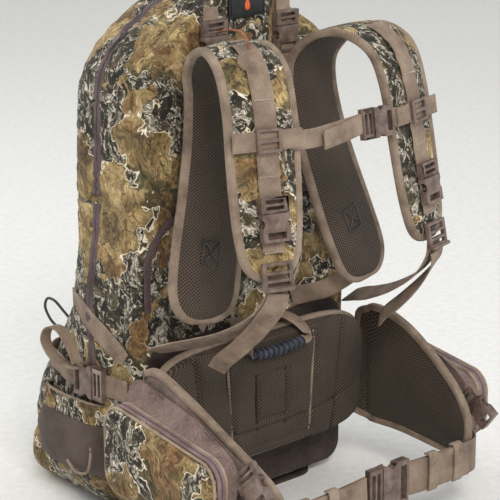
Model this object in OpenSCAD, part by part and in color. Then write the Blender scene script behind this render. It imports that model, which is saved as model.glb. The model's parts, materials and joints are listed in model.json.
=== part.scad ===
// Hunting backpack with a shoulder harness and a padded hip belt.
// +Z is up and -Y faces the wearer. The origin is on the base panel's underside, in the middle of
// its rear edge, at the foot of the back panel. All sizes are in millimetres.

/* [Bag] */
// Height of the bag's crown above the floor
bag_h = 590; // [580:2:600]
// Width of the bag at its widest, just above the hip belt
bag_w = 312; // [308:2:318]
// Depth of the upper bag, from back panel to outer face
bag_d = 137; // [132:1:142]
// Depth of the bag and its lower pocket together
pocket_d = 242; // [236:2:246]
// Thickness of the bag's walls, fabric and lining together
wall = 3; // [2.5:0.5:3.5]

/* [Harness] */
// Width of a shoulder strap's pad
strap_w = 78; // [72:2:82]
// Thickness of a shoulder strap's pad
strap_t = 14; // [12:1:15]
// Width of the sternum, lifter and accessory webbing
thin_web = 20; // [18:1:22]
// Width of the strap ladder and adjusting webbing
mid_web = 25; // [24:1:27]

/* [Hip belt] */
// Width of the waist webbing
belt_web = 38; // [36:1:40]
// Thickness of the lumbar pad
lumbar_t = 26; // [22:1:28]
// Thickness of a hip wing's pad
wing_t = 15; // [12:1:16]
// How far a hip pouch stands out from its wing
pouch_depth = 40; // [34:2:44]

/* [Hidden] */
$fn = 32;

// Colours
camo = "#8a7448";
coyote = "#8b7566";
brown = "#4a3c35";
mesh_brown = "#4b4139";
plastic = "#7d685d";
grey = "#4d5260";
silver = "#b9bcc0";
black = "#26262a";
white_foam = "#c9c4b8";

// Bag outline: circles whose hull is the bag seen along Y
crown_x = 60;
crown_r = 78;
shoulder_z = bag_h - 120;
top_r = 60;
hip_r = 30;
hip_z = 230;
base_r = 44;
base_w = bag_w - 16;
base_t = 3;
fit_gap = 0.4;
zip_y = 78;
flap_z = 356;
camo_z = 214;
web_t = 1.8;
slab_t = 1;

// Hip belt
hinge = [156, -27];
lumbar_y = -40;
belt_z = 72;
belt_y = -207;
pouch_top = 165;
pouch_low = 68;
pouch_back = -4;
pouch_front = -178;
pouch_in = 176;
pouch_out = pouch_in + pouch_depth;

// ---------- Vector helpers ----------
function unit(v) = v / norm(v);
function part(s, i) = [s[i], s[i + 1], s[i + 2]];
function flip(s) = [-s[0], s[1], s[2], -s[3], s[4], s[5], s[6], s[7]];
function mirrored(list) = [for (i = [len(list) - 1 : -1 : 0]) flip(list[i])];
function catmull(a, b, c, d, t) =
    0.5 * (2 * b + (c - a) * t + (2 * a - 5 * b + 4 * c - d) * t * t
           + (3 * b - a - 3 * c + d) * t * t * t);
function smooth(p, n) = [
    for (i = [0 : len(p) - 2]) for (k = [0 : n - 1])
        catmull(p[max(i - 1, 0)], p[i], p[i + 1], p[min(i + 2, len(p) - 1)], k / n),
    p[len(p) - 1]
];

// Unit cross-section outlines, going round from the width axis to the thickness axis
flat_section = [[1, 1], [-1, 1], [-1, -1], [1, -1]];
pad_section = [
    for (k = [0 : 11]) let (t = 15 + 30 * k)
        [sign(cos(t)) * pow(abs(cos(t)), 0.35), sign(sin(t)) * pow(abs(sin(t)), 0.5)]
];

// A band swept along stations [x, y, z, width axis x, y, z, half width, half thickness]
module band(stations, steps = 4, section = flat_section) {
    s = smooth(stations, steps);
    m = len(s);
    n = len(section);
    along = [for (i = [0 : m - 1]) unit(part(s[min(i + 1, m - 1)], 0) - part(s[max(i - 1, 0)], 0))];
    thick = [for (i = [0 : m - 1]) unit(cross(along[i], part(s[i], 3)))];
    wide = [for (i = [0 : m - 1]) cross(thick[i], along[i])];
    points = [
        for (i = [0 : m - 1]) for (p = section)
            part(s[i], 0) + wide[i] * s[i][6] * p[0] + thick[i] * s[i][7] * p[1]
    ];
    faces = concat(
        [[for (k = [0 : n - 1]) k]],
        [[for (k = [n - 1 : -1 : 0]) (m - 1) * n + k]],
        [for (i = [0 : m - 2]) for (k = [0 : n - 1])
            [i * n + k, (i + 1) * n + k, (i + 1) * n + (k + 1) % n]],
        [for (i = [0 : m - 2]) for (k = [0 : n - 1])
            [i * n + k, (i + 1) * n + (k + 1) % n, i * n + (k + 1) % n]]
    );
    polyhedron(points, faces);
}

// Children placed at o, with their x axis along ax and their z axis as near az as it can be
module place(o, ax, az) {
    x = unit(ax);
    y = unit(cross(az, x));
    z = cross(x, y);
    multmatrix([[x[0], y[0], z[0], o[0]], [x[1], y[1], z[1], o[1]], [x[2], y[2], z[2], o[2]]])
        children();
}

// The left side is the mirror image of the right one
module side(s) {
    if (s > 0) children();
    else mirror([1, 0, 0]) children();
}

module box(low, high) {
    translate(low) cube(high - low);
}

// ---------- Plastic hardware, lying flat with webbing along x ----------
function buckle_w(w) = w + 12;
function buckle_t(w) = 7 + w / 12;
function socket_l(w) = 8 + w * 0.42;
function tail_l(w) = 9 + w * 0.16;
function buckle_end(w) = socket_l(w) + tail_l(w) + 1.6;

// Socket half: its mouth is at x = 0, and its webbing bar at the far end
module buckle_female(w) {
    bw = buckle_w(w);
    t = buckle_t(w);
    ls = socket_l(w);
    lt = tail_l(w);
    difference() {
        box([0.3, -bw / 2, -t / 2], [ls + lt, bw / 2, t / 2]);
        box([-1, -bw / 2 + 2.4, -t / 2 + 1.7], [ls, bw / 2 - 2.4, t / 2 - 1.7]);
        box([5, -bw, -t / 2 + 1.7], [ls - 2, bw, t / 2 - 1.7]);
        box([ls + 2.5, -w / 2 - 0.6, -t], [ls + lt - 3, w / 2 + 0.6, t]);
        for (s = [-1, 1]) translate([ls / 2 + 2, s * (bw / 2 + 2), 0])
            cylinder(r = ls * 0.3, h = 2 * t, center = true);
    }
}

// Plug half: two squeeze arms and a guide tongue, and a double bar for adjusting the webbing
module buckle_male(w) {
    bw = buckle_w(w);
    t = buckle_t(w);
    ls = socket_l(w);
    lt = tail_l(w) + 4;
    arm_t = t - 6.2;
    difference() {
        box([-lt, -bw / 2, -t / 2 + 1], [-0.3, bw / 2, t / 2 - 1]);
        box([-lt + 2.6, -w / 2 - 0.6, -t], [-lt / 2 - 1.6, w / 2 + 0.6, t]);
        box([-lt / 2 + 0.9, -w / 2 - 0.6, -t], [-3.4, w / 2 + 0.6, t]);
    }
    for (s = [-1, 1]) {
        box([-0.6, s * (bw / 2 - 5.6) - 1.4, -arm_t / 2], [ls - 3, s * (bw / 2 - 5.6) + 1.4, arm_t / 2]);
        translate([ls - 5, s * (bw / 2 - 6), 0]) cylinder(r = 2.4, h = arm_t, center = true);
    }
    box([-0.6, -w * 0.09, -arm_t / 2], [ls * 0.8, w * 0.09, arm_t / 2]);
}

// Ladder lock: a frame with two bars, its top edge turned up as a thumb lift
module ladder_lock(w) {
    bw = w + 10;
    difference() {
        box([-14, -bw / 2, -2.4], [14, bw / 2, 2.4]);
        box([-10.5, -w / 2 - 0.6, -6], [-4.6, w / 2 + 0.6, 6]);
        box([-1.6, -w / 2 - 0.6, -6], [3.4, w / 2 + 0.6, 6]);
        box([6.6, -w / 2 - 0.6, -6], [10.8, w / 2 + 0.6, 6]);
    }
    box([12, -bw / 2, 1.4], [15.5, bw / 2, 5.4]);
}

// Flat slider: a window frame with a middle bar
module flat_slider(w, l) {
    bw = w + 9;
    difference() {
        box([-l / 2, -bw / 2, -1.6], [l / 2, bw / 2, 1.6]);
        box([-l / 2 + 3, -w / 2 - 0.5, -4], [-1.9, w / 2 + 0.5, 4]);
        box([1.9, -w / 2 - 0.5, -4], [l / 2 - 3, w / 2 + 0.5, 4]);
    }
}

// Zip slider: its body runs along x, and its pull hangs from a bridge and lies back along -x
module zip_slider() {
    box([-5.5, -3.4, 0], [5.5, 3.4, 2.6]);
    box([-3, -1.1, 2.4], [3, 1.1, 4.6]);
    difference() {
        box([-20, -2.6, 3], [-1.4, 2.6, 4.2]);
        box([-18.6, -1.2, 0], [-14, 1.2, 9]);
    }
}

// ---------- Bag ----------
module bag_outline(in) {
    hull() {
        for (s = [-1, 1]) {
            translate([s * crown_x, shoulder_z]) circle(r = crown_r - in);
            translate([s * (bag_w / 2 - max(hip_r, in + 4)), hip_z]) circle(r = max(hip_r - in, 4));
            translate([s * (base_w / 2 - max(base_r, in + 4)), base_t + fit_gap + max(base_r, in + 4)])
                circle(r = max(base_r - in, 4));
        }
        translate([0, bag_h - top_r]) circle(r = top_r - in);
    }
}

module bag_slab(y, in) {
    translate([0, y + slab_t / 2, 0]) rotate([90, 0, 0])
        linear_extrude(slab_t, center = true) bag_outline(in);
}

// The bag's whole volume between two depths, its outer edges rounded
module bag_solid(in, y0, y1) {
    hull() {
        bag_slab(y0, in + 8);
        bag_slab(y0 + 8, in);
        bag_slab(y1 - 50, in);
        bag_slab(y1 - 18, in + 14);
        bag_slab(y1 - slab_t, in + 40);
    }
}

module bag_walls() {
    difference() {
        bag_solid(0, 0, bag_d);
        bag_solid(wall, wall, bag_d - wall);
    }
}

module base_panel() {
    color(brown) linear_extrude(base_t) hull() {
        for (s = [-1, 1]) {
            translate([s * 84, 20.8]) circle(r = 24);
            translate([s * 72, pocket_d - 76]) circle(r = 36);
        }
    }
}

module bag_shell() {
    color(camo) difference() {
        bag_walls();
        box([-bag_w, zip_y - fit_gap, flap_z - fit_gap], [bag_w, bag_d + 50, bag_h + 50]);
    }
}

module main_flap() {
    color(camo) intersection() {
        bag_walls();
        box([-bag_w, zip_y + fit_gap, flap_z + fit_gap], [bag_w, bag_d + 50, bag_h + 50]);
    }
}

module lower_back_panel() {
    color(brown) translate([0, -0.8, 0]) rotate([90, 0, 0]) linear_extrude(2.4) hull()
        for (s = [-1, 1], z = [32, camo_z - 26])
            translate([s * (bag_w / 2 - 34), z]) circle(r = 22);
}

module frame_sheet() {
    color(black) translate([0, wall + 2.4, 0]) rotate([90, 0, 0]) linear_extrude(1.6) hull() {
        for (s = [-1, 1]) {
            translate([s * 105, 40]) circle(r = 12);
            translate([s * 75, bag_h - 95]) circle(r = 25);
        }
    }
}

module frame_stays() {
    color(silver) for (s = [-1, 1])
        box([s * 55 - 6, wall + 3, 45], [s * 55 + 6, wall + 6, bag_h - 95]);
}

module back_foam() {
    color(white_foam) translate([0, wall + 12.6, 0]) rotate([90, 0, 0]) linear_extrude(6) hull() {
        for (s = [-1, 1]) {
            translate([s * 104, 40]) circle(r = 12);
            translate([s * 70, bag_h - 100]) circle(r = 25);
        }
    }
}

module hydration_sleeve() {
    color(brown) difference() {
        box([-95, wall + 13.4, 150], [95, wall + 27, 480]);
        box([-93.4, wall + 15, 151.6], [93.4, wall + 25.4, 500]);
    }
}

// The lower pocket's outline is a stack of rounded rectangles: [bottom, height, depth, half width,
// corner radius]. It is deepest just above the floor, and its top slopes back to the bag.
pocket_low = base_t + fit_gap;
pocket_shelf = [pocket_d - 75, 208];
pocket_crest = [bag_d - 11, 244];
pocket_levels = [
    [pocket_low, 6, pocket_d - 28, 122, 26],
    [22, 22, pocket_d, 146, 44],
    [172, 10, pocket_d - 63, 148, 36],
    [pocket_shelf[1] - 4, 4, pocket_shelf[0], 146, 34],
    [pocket_crest[1] - 4, 4, pocket_crest[0], 140, 24],
    [46, 188, 138, 148, 38]
];
module pocket_volume(in) {
    hull() for (l = pocket_levels, s = [-1, 1])
        translate([s * (l[3] - l[4]), l[2] - l[4], l[0] + in]) cylinder(r = l[4] - in, h = l[1] - in);
}

module lower_pocket() {
    color(camo) difference() {
        pocket_volume(0);
        pocket_volume(wall);
        bag_solid(-0.6, -0.6, bag_d + 0.6);
    }
}

// Bulge of the mesh pocket on the right side
module side_bulge(in, rise) {
    hull() for (y = [78, 148]) {
        translate([bag_w / 2 - 18, y, 32 + in]) cylinder(r = 20 - in, h = 6);
        translate([bag_w / 2 - 10, y, 60]) cylinder(r = 31 - in, h = 26);
        translate([bag_w / 2 - 10, y, 110]) cylinder(r = 21 - in, h = 18 + rise);
    }
}

module mesh_side_pockets() {
    color(mesh_brown) for (s = [-1, 1]) side(s) difference() {
        side_bulge(0, 0);
        side_bulge(2, 20);
        bag_solid(-0.6, -0.6, bag_d + 0.6);
        pocket_volume(-0.6);
    }
}

// Round elastic cord along stations [x, y, z]
cord_r = 1.6;
module cord(points) {
    m = len(points);
    band([for (i = [0 : m - 1]) concat(points[i], unit(cross([0.3, 0.2, 0.93],
        points[min(i + 1, m - 1)] - points[max(i - 1, 0)])), [cord_r, cord_r])], 3,
        [for (k = [0 : 7]) [cos(22.5 + 45 * k), sin(22.5 + 45 * k)]]);
}

// Cord loops at the top of the lower pocket and at the foot of each mesh pocket
module cord_loops() {
    color(grey) for (s = [-1, 1]) side(s) {
        cord([[132, 164, 212], [136, 174, 222], [137, 186, 222], [137, 191, 211], [136, 183, 198],
              [134, 171, 190]]);
        cord([[176, 62, 88], [180, 58, 74], [181, 64, 58], [181, 84, 54], [181.5, 98, 64]]);
    }
}

// ---------- Zips ----------
// Angle of the outline's straight side, and of its run to the crown
side_run = [crown_x - (bag_w / 2 - hip_r), shoulder_z - hip_z];
side_a = atan2(side_run[1], side_run[0]) - acos((hip_r - crown_r) / norm(side_run));
crown_run = [-crown_x, bag_h - top_r - shoulder_z];
crown_a = atan2(crown_run[1], crown_run[0]) - acos((crown_r - top_r) / norm(crown_run));
side_x = crown_x + crown_r * cos(side_a);
side_z = shoulder_z + crown_r * sin(side_a);

// Stations along the bag's outline from the right end of the zip over the crown to the left end
function zip_half(y, out, half) = [
    for (z = [flap_z + 8 : 28 : side_z - 10])
        [side_x + (side_z - z) * tan(side_a) + out, y, z, 0, 1, 0, half, 0.7],
    for (k = [0 : 6]) let (a = side_a + (crown_a - side_a) * k / 6)
        [crown_x + (crown_r + out) * cos(a), y, shoulder_z + (crown_r + out) * sin(a),
         0, 1, 0, half, 0.7],
    for (k = [0 : 1]) let (a = crown_a + (90 - crown_a) * k / 3)
        [(top_r + out) * cos(a), y, bag_h - top_r + (top_r + out) * sin(a), 0, 1, 0, half, 0.7]
];
function zip_path(y, out, half) =
    concat(zip_half(y, out, half), [[0, y, bag_h + out, 0, 1, 0, half, 0.7]],
           mirrored(zip_half(y, out, half)));

module main_zipper_tape() {
    color(coyote) band(zip_path(zip_y - 4.2, 1.2, 3.6), 2);
}

module flap_zipper_tape() {
    color(coyote) band(zip_path(zip_y + 4.2, 1.2, 3.6), 2);
}

slider_a = 52;
module main_slider(s) {
    color(plastic) side(s)
        place([crown_x + (crown_r + 2.4) * cos(slider_a), zip_y - 4.2,
               shoulder_z + (crown_r + 2.4) * sin(slider_a)],
              [sin(slider_a), 0, -cos(slider_a)], [cos(slider_a), 0, sin(slider_a)])
            rotate([0, 0, 180]) zip_slider();
}

access_c = [84, 290];
access_r = 59;
module access_zippers() {
    color(coyote) for (s = [-1, 1]) side(s) band(concat(
        [for (a = [90 : -15 : 0])
            [access_c[0] + access_r * cos(a), -1.3, access_c[1] + access_r * sin(a),
             cos(a), 0, sin(a), 4, 0.7]],
        [for (z = [access_c[1] - 15, access_c[1] - 40])
            [access_c[0] + access_r, -1.3, z, 1, 0, 0, 4, 0.7]]), 2);
}

module access_slider(s) {
    color(plastic) side(s) place([access_c[0], -2.6, access_c[1] + access_r], [1, 0, 0], [0, -1, 0])
        zip_slider();
}

// The pocket's zip lies half way up its sloping top
pocket_slope = atan2(pocket_crest[1] - pocket_shelf[1], pocket_shelf[0] - pocket_crest[0]);
pocket_zip = (pocket_shelf + pocket_crest) / 2;
module on_pocket_slope() {
    translate([0, pocket_zip[0], pocket_zip[1]]) rotate([-pocket_slope, 0, 0]) children();
}

module pocket_zipper() {
    color(coyote) on_pocket_slope() box([-105, -4, 1], [105, 4, 2.4]);
}

module pocket_slider() {
    color(plastic) on_pocket_slope() translate([-95, 0, 3]) rotate([0, 0, 180]) zip_slider();
}

// ---------- Straps on the bag ----------
side_buckle_y = 68;
side_strap_x = bag_w / 2 + 5.4;
side_strap_z = 158;
side_slope = unit([pocket_levels[2][2] - pocket_d, pocket_levels[2][0] - 44]);
side_bend = [111, 149];
side_bend_r = 42.2;
function side_bend_station(a, wide) = [
    side_bend[0] + side_bend_r * cos(a), side_bend[1] + side_bend_r * sin(a), side_strap_z + 2 + a / 45,
    0, wide[0], wide[1], mid_web / 2, web_t / 2
];
module side_straps() {
    hw = mid_web / 2;
    ht = web_t / 2;
    color(coyote) for (s = [-1, 1]) side(s) {
        band([
            [bag_w / 2 + 1.8, 112, 242, 0, 0.3, 0.95, hw, ht],
            [bag_w / 2 + 1.8, 84, 232, 0, 0.35, 0.94, hw, ht],
            [bag_w / 2 + 1.8, 54, 218, 0, 0.4, 0.92, hw, ht],
            [bag_w / 2 + 1.6, 18, 198, 0, 0.45, 0.9, hw - 3, ht]
        ]);
        band([
            [60, side_bend[1] + side_bend_r, side_strap_z + 4, 0, side_slope[0], side_slope[1], hw, ht],
            for (a = [90, 60]) side_bend_station(a, side_slope),
            side_bend_station(30, [-0.2, 0.98]),
            side_bend_station(0, [0, 1]),
            [side_strap_x, 118, side_strap_z, 0, 0, 1, hw, ht],
            [side_strap_x, side_buckle_y + buckle_end(mid_web), side_strap_z, 0, 0, 1, hw, ht]
        ]);
        band([
            [side_strap_x - 3.6, side_buckle_y - 0.5, side_strap_z, 0, 0, 1, hw, ht],
            [side_strap_x - 3.6, 42, side_strap_z, 0, 0, 1, hw, ht],
            [side_strap_x - 3.8, 18, side_strap_z, 0, 0, 1, hw, ht]
        ]);
    }
}

module side_buckle(s, female) {
    color(plastic) side(s)
        place([side_strap_x + buckle_t(mid_web) / 2 - 2, side_buckle_y, side_strap_z],
              [0, 1, 0], [1, 0, 0]) {
            if (female) buckle_female(mid_web);
            else buckle_male(mid_web);
        }
}

module side_buckle_females() {
    for (s = [-1, 1]) side_buckle(s, true);
}

module haul_handle() {
    hw = mid_web / 2 - 1;
    color(coyote) band([
        [-34, 1.6, bag_h - 7, 0, 1, 0, hw, web_t],
        [-33, 3, bag_h + 4, 0, 1, 0, hw, web_t],
        [-20, 4, bag_h + 16, 0, 1, 0, hw, web_t],
        [0, 4, bag_h + 20, 0, 1, 0, hw, web_t],
        [20, 4, bag_h + 16, 0, 1, 0, hw, web_t],
        [33, 3, bag_h + 4, 0, 1, 0, hw, web_t],
        [34, 1.6, bag_h - 7, 0, 1, 0, hw, web_t]
    ], 3);
}

patch_z = bag_h - 25;
module hydration_patch() {
    color(black) box([-26, -3, patch_z - 13], [26, -0.6, patch_z + 13]);
}

// ---------- Shoulder harness ----------
strap_h = strap_t / 2;
// Stations of the right strap: up the back, over the shoulder and down the chest
strap_right = [
    [122, -66, 253, 1, 0.1, 0, 17, strap_h * 0.5],
    [120.5, -64.5, 262, 1, 0.1, 0, 32, strap_h],
    [116, -61, 280, 1, 0.1, 0, 40, strap_h],
    [104, -53, 320, 1, 0.1, 0.05, strap_w / 2 + 2, strap_h],
    [88, -44, 375, 1, 0.1, 0.05, strap_w / 2, strap_h],
    [75, -35, 430, 1, 0.08, 0.02, strap_w / 2 - 2, strap_h],
    [70, -28, 480, 1, 0.05, 0, strap_w / 2 - 4, strap_h],
    [73, -31, 508, 1, 0.05, 0, strap_w / 2 - 4, strap_h],
    [81, -54, 531, 1, 0.05, 0, strap_w / 2 - 3, strap_h],
    [91, -88, 538, 1, 0.1, 0, strap_w / 2 - 1, strap_h],
    [100, -119, 522, 1, 0.18, 0, strap_w / 2, strap_h],
    [104, -135, 484, 1, 0.213, 0, strap_w / 2, strap_h],
    [107.5, -144.5, 430, 1, 0.213, 0, strap_w / 2, strap_h],
    [111, -153.5, 376, 1, 0.213, 0, strap_w / 2 - 2, strap_h],
    [113.5, -159.5, 342, 1, 0.213, 0, 32, strap_h],
    [114.5, -162, 328, 1, 0.213, 0, 25, strap_h],
    [115, -163, 320, 1, 0.213, 0, 13, strap_h * 0.5]
];

module shoulder_strap(s) {
    color(mesh_brown) side(s) band(strap_right, 2, pad_section);
}

// The chest run of the right strap: a point on its centreline, and its directions
leg_top = [104, -135, 484];
leg_low = [111, -153.5, 376];
leg_down = unit(leg_low - leg_top);
leg_out = unit(cross(leg_down, [1, 0.213, 0]));
leg_wide = cross(leg_out, leg_down);
function leg(z) = leg_top + (leg_low - leg_top) * (leg_top[2] - z) / (leg_top[2] - leg_low[2]);
function leg_station(z, out, w) =
    let (c = leg(z) + leg_out * (strap_h + out)) [c[0], c[1], c[2], leg_wide[0], leg_wide[1],
                                                  leg_wide[2], w / 2, web_t / 2];

module strap_ladder_webbing() {
    color(coyote) for (s = [-1, 1]) side(s)
        band([for (z = [495 : -25 : 345]) leg_station(z, 1.6, mid_web)], 1);
}

lock_c = leg(322) + leg_out * (strap_h + 6);
module lock_piece(s) {
    color(plastic) side(s) place(lock_c, leg_down, leg_out) ladder_lock(mid_web);
}

// Adjusting webbing from each ladder lock down to the top corner of the hip belt, and the short
// webbing that ties the foot of each back pad to the bag
module harness_webbing() {
    hw = mid_web / 2;
    ht = web_t / 2;
    color(coyote) for (s = [-1, 1]) side(s) {
        band([
            [116, -170, 300, 0.97, 0.2, 0.1, hw, ht],
            [118, -150, 275, 0.95, 0.3, 0.1, hw, ht],
            [122, -112, 250, 0.9, 0.4, 0.15, hw, ht],
            [128, -72, 232, 0.85, 0.5, 0.2, hw, ht],
            [139, -40, 221, 0.8, 0.6, 0.1, hw, ht],
            [146, -22, 214, 0.8, 0.6, 0, hw, ht]
        ]);
        band([
            [102, -46, 246, 0.5, 0, -0.86, hw, ht],
            [88, -34, 236, 0.5, 0, -0.86, hw, ht],
            [76, -18, 230, 0.5, 0, -0.86, hw, ht],
            [64, -5, 226, 0.3, 0, -0.95, hw, ht]
        ]);
    }
}

lifter_x = 52;
lifter_z = bag_h - 52;
lifter_y = -8.4;
module lifter_webbing() {
    hw = thin_web / 2;
    color(coyote) for (s = [-1, 1]) side(s) {
        band([
            [lifter_x, -2.6, bag_h - 24, 1, 0, 0, hw, web_t / 2],
            [lifter_x, -2.2, bag_h - 36, 1, 0, 0, hw, web_t / 2],
            [lifter_x, -2.2, lifter_z + 0.6, 1, 0, 0, hw, web_t / 2]
        ]);
        band([
            [lifter_x, lifter_y, lifter_z - buckle_end(thin_web), 1, 0, 0, hw, web_t / 2],
            [lifter_x + 1, lifter_y - 0.6, lifter_z - 38, 1, 0, 0, hw, web_t / 2],
            [lifter_x + 4, lifter_y - 3, lifter_z - 56, 1, 0, 0, hw, web_t / 2]
        ]);
    }
}

module lifter_buckle(s, female) {
    color(plastic) side(s) place([lifter_x, lifter_y, lifter_z], [0, 0, -1], [0, -1, 0]) {
        if (female) buckle_female(thin_web);
        else buckle_male(thin_web);
    }
}

module lifter_females() {
    for (s = [-1, 1]) lifter_buckle(s, true);
}

// Sternum strap, level across both straps
sternum_z = 455;
sternum_c = leg(sternum_z) + leg_out * (strap_h + 4.8);
sternum_x = 34;
sternum_y = sternum_c[1] - 2;
module sternum_webbing() {
    hw = thin_web / 2;
    color(coyote) {
        for (s = [-1, 1]) side(s) band([
            for (d = [-36, 0, 36]) let (c = sternum_c + leg_wide * d)
                [c[0], c[1], c[2], 0, 0.14, 0.99, hw, web_t / 2]
        ], 1);
        band([
            [-70, sternum_y - 3, sternum_z - 2, 0, 0.14, 0.99, hw, web_t / 2],
            [-20, sternum_y + 1.6, sternum_z - 1, 0, 0.14, 0.99, hw, web_t / 2],
            [sternum_x - 0.4, sternum_y + 2, sternum_z, 0, 0.14, 0.99, hw, web_t / 2]
        ]);
        band([
            [sternum_x + buckle_end(thin_web) + 2, sternum_y - 4.2, sternum_z, 0, 0.14, 0.99, hw, web_t / 2],
            [70, sternum_y - 6, sternum_z - 1, 0, 0.14, 0.99, hw, web_t / 2]
        ]);
    }
}

module sternum_sliders() {
    color(plastic) for (s = [-1, 1]) side(s)
        place(sternum_c + leg_out * 3.4, leg_down, leg_out) flat_slider(thin_web, 24);
}

module sternum_buckle(female) {
    color(plastic) place([sternum_x, sternum_y - 4.2, sternum_z], [1, 0, 0], [0, -0.99, 0.14]) {
        if (female) buckle_female(thin_web);
        else buckle_male(thin_web);
    }
}

accessory_c = leg(384) + leg_out * (strap_h + 7.6);
module accessory_buckle(s, female) {
    color(plastic) side(s) place(accessory_c, leg_down, leg_out) {
        if (female) buckle_female(thin_web);
        else buckle_male(thin_web);
    }
}

module accessory_females() {
    for (s = [-1, 1]) accessory_buckle(s, true);
}

// ---------- Hip belt ----------
module lumbar_pad() {
    color(mesh_brown) hull() for (s = [-1, 1]) {
        for (z = [78, 186]) translate([s * 136, lumbar_y + lumbar_t / 2, z]) rotate([90, 0, 0])
            cylinder(r = 16, h = lumbar_t, center = true);
        for (z = [88, 176]) translate([s * 100, lumbar_y + lumbar_t / 2 - 4, z]) rotate([90, 0, 0])
            cylinder(r = 16, h = lumbar_t, center = true);
    }
}

grip_x = 38;
grip_y = lumbar_y - 11;
grip_z = 190;
strap_top = [26, -6, 219];
module lumbar_handle() {
    color(grey) place([-grip_x, grip_y, grip_z], [1, 0, 0], [0, -1, 0]) {
        rotate([0, 90, 0]) cylinder(r = 5, h = 2 * grip_x);
        for (k = [0 : 9]) translate([5 + k * (2 * grip_x - 10) / 9, 0, 0]) rotate([0, 90, 0])
            cylinder(r = 6.2, h = 3.6, center = true);
    }
    color(coyote) for (s = [-1, 1]) side(s) band([
        [grip_x + 1, grip_y, grip_z, 0.3, 0.5, 0.8, 5, web_t / 2],
        [grip_x + 8, grip_y, grip_z + 6, 0.6, 0.6, 0.3, 8, web_t / 2],
        [grip_x + 4, -37, 209, 1, 0.3, 0, 9, web_t / 2],
        [strap_top[0] + 6, -22, 217, 1, 0.3, 0, 9, web_t / 2],
        [strap_top[0], strap_top[1], strap_top[2], 1, 0, 0, 9, web_t / 2]
    ]);
}

// Fabric gussets that tie the belt's corners back to the bag
module stabiliser_panels() {
    color(brown) for (s = [-1, 1]) side(s) band([
        [136, -10.6, 132, 0, 0, 1, 48, 1.2],
        [146, -8, 130, 0, 0, 1, 44, 1.2],
        [bag_w / 2 - 3, -4, 128, 0, 0, 1, 36, 1.2]
    ], 2);
}

// The right wing: padded, tapering to its tip
wing_h = wing_t / 2;
module hip_wing(s) {
    color(mesh_brown) side(s) band([
        [hinge[0] + 9, -31, 130, 0, 0, 1, 66, wing_h * 0.6],
        [hinge[0] + 10, -40, 130, 0, 0, 1, 70, wing_h],
        [hinge[0] + 12, -80, 122, 0, 0, 1, 64, wing_h],
        [hinge[0] + 9, -125, 109, 0, 0, 1, 52, wing_h],
        [hinge[0] + 3, -165, 96, 0, 0, 1, 40, wing_h],
        [hinge[0] - 5, -192, 84, 0, 0, 1, 28, wing_h],
        [hinge[0] - 11, -203, 78, 0, 0, 1, 16, wing_h * 0.6]
    ], 3, pad_section);
}

// Pouch volume outboard of the right wing, its mouth face standing out along +X
module pouch_volume(in, x0, x1) {
    hull() for (y = [pouch_front + 24, pouch_back - 24], z = [pouch_low + 24, pouch_top - 24]) {
        drop = (pouch_back - y) * (z > 110 ? 0.16 : 0);
        translate([x0, y, z - drop]) rotate([0, 90, 0]) cylinder(r = 24 - in, h = 1);
        translate([x1 - 9, y, z - drop]) rotate([0, 90, 0]) cylinder(r = 23 - in, h = 1);
        translate([x1 - 1, y, z - drop]) rotate([0, 90, 0]) cylinder(r = 17 - in, h = 1);
    }
}

pouch_split = pouch_out - 14;
module pouch_body(s) {
    color(coyote) side(s) difference() {
        pouch_volume(0, pouch_in, pouch_out);
        pouch_volume(1.8, pouch_in - 5, pouch_out - 1.8);
        box([pouch_split - fit_gap, -400, 0], [400, 50, 400]);
    }
}

module pouch_face(s) {
    color(camo) side(s) intersection() {
        difference() {
            pouch_volume(0, pouch_in, pouch_out);
            pouch_volume(1.8, pouch_in - 5, pouch_out - 1.8);
        }
        box([pouch_split + fit_gap, -400, 0], [400, 50, 400]);
    }
}

// The pouch's zip runs on a corner of this centre and radius
pouch_c = [pouch_front + 24, pouch_top - 24 - (pouch_back - pouch_front - 24) * 0.16];
module pouch_slider(s) {
    a = 100;
    color(plastic) side(s) place([pouch_split - 5.5, pouch_c[0] + 25 * cos(a), pouch_c[1] + 25 * sin(a)],
        [0, -sin(a), cos(a)], [0, cos(a), sin(a)]) zip_slider();
}

// Waist webbing of the right side, from its wing round to the middle
function waist(z0, z1, x1) = [
    [hinge[0] + 14.5, -170, z0, 0, 0, 1, belt_web / 2, web_t / 2],
    [hinge[0] + 8, -196.5, z0, 0, 0, 1, belt_web / 2, web_t / 2],
    [143, belt_y - 6.5, z0, 0, 0, 1, belt_web / 2, web_t / 2],
    [100, belt_y - 4, (z0 + z1) / 2, 0, 0, 1, belt_web / 2, web_t / 2],
    [x1 + 22, belt_y, z1, 0, 0, 1, belt_web / 2, web_t / 2],
    [x1, belt_y, z1, 0, 0, 1, belt_web / 2, web_t / 2]
];
module waist_webbing(s) {
    color(coyote) side(s) band(waist(belt_z, belt_z, s > 0 ? buckle_end(belt_web) : tail_l(belt_web) + 4.5), 3);
}

module waist_buckle(female) {
    t = buckle_t(belt_web);
    color(plastic) place([0, belt_y - t / 2 - web_t / 2 + 3, belt_z], [1, 0, 0], [0, -1, 0]) {
        if (female) buckle_female(belt_web);
        else buckle_male(belt_web);
    }
}

// Buckle on the front end of each wing, closed over the pouch's compression strap
module wing_buckle(s) {
    color(plastic) side(s) place([hinge[0] + 13.4, -192, 122], [0.1, -0.75, -0.65], [1, -0.2, 0.1]) {
        buckle_female(thin_web);
        buckle_male(thin_web);
    }
}

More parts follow.
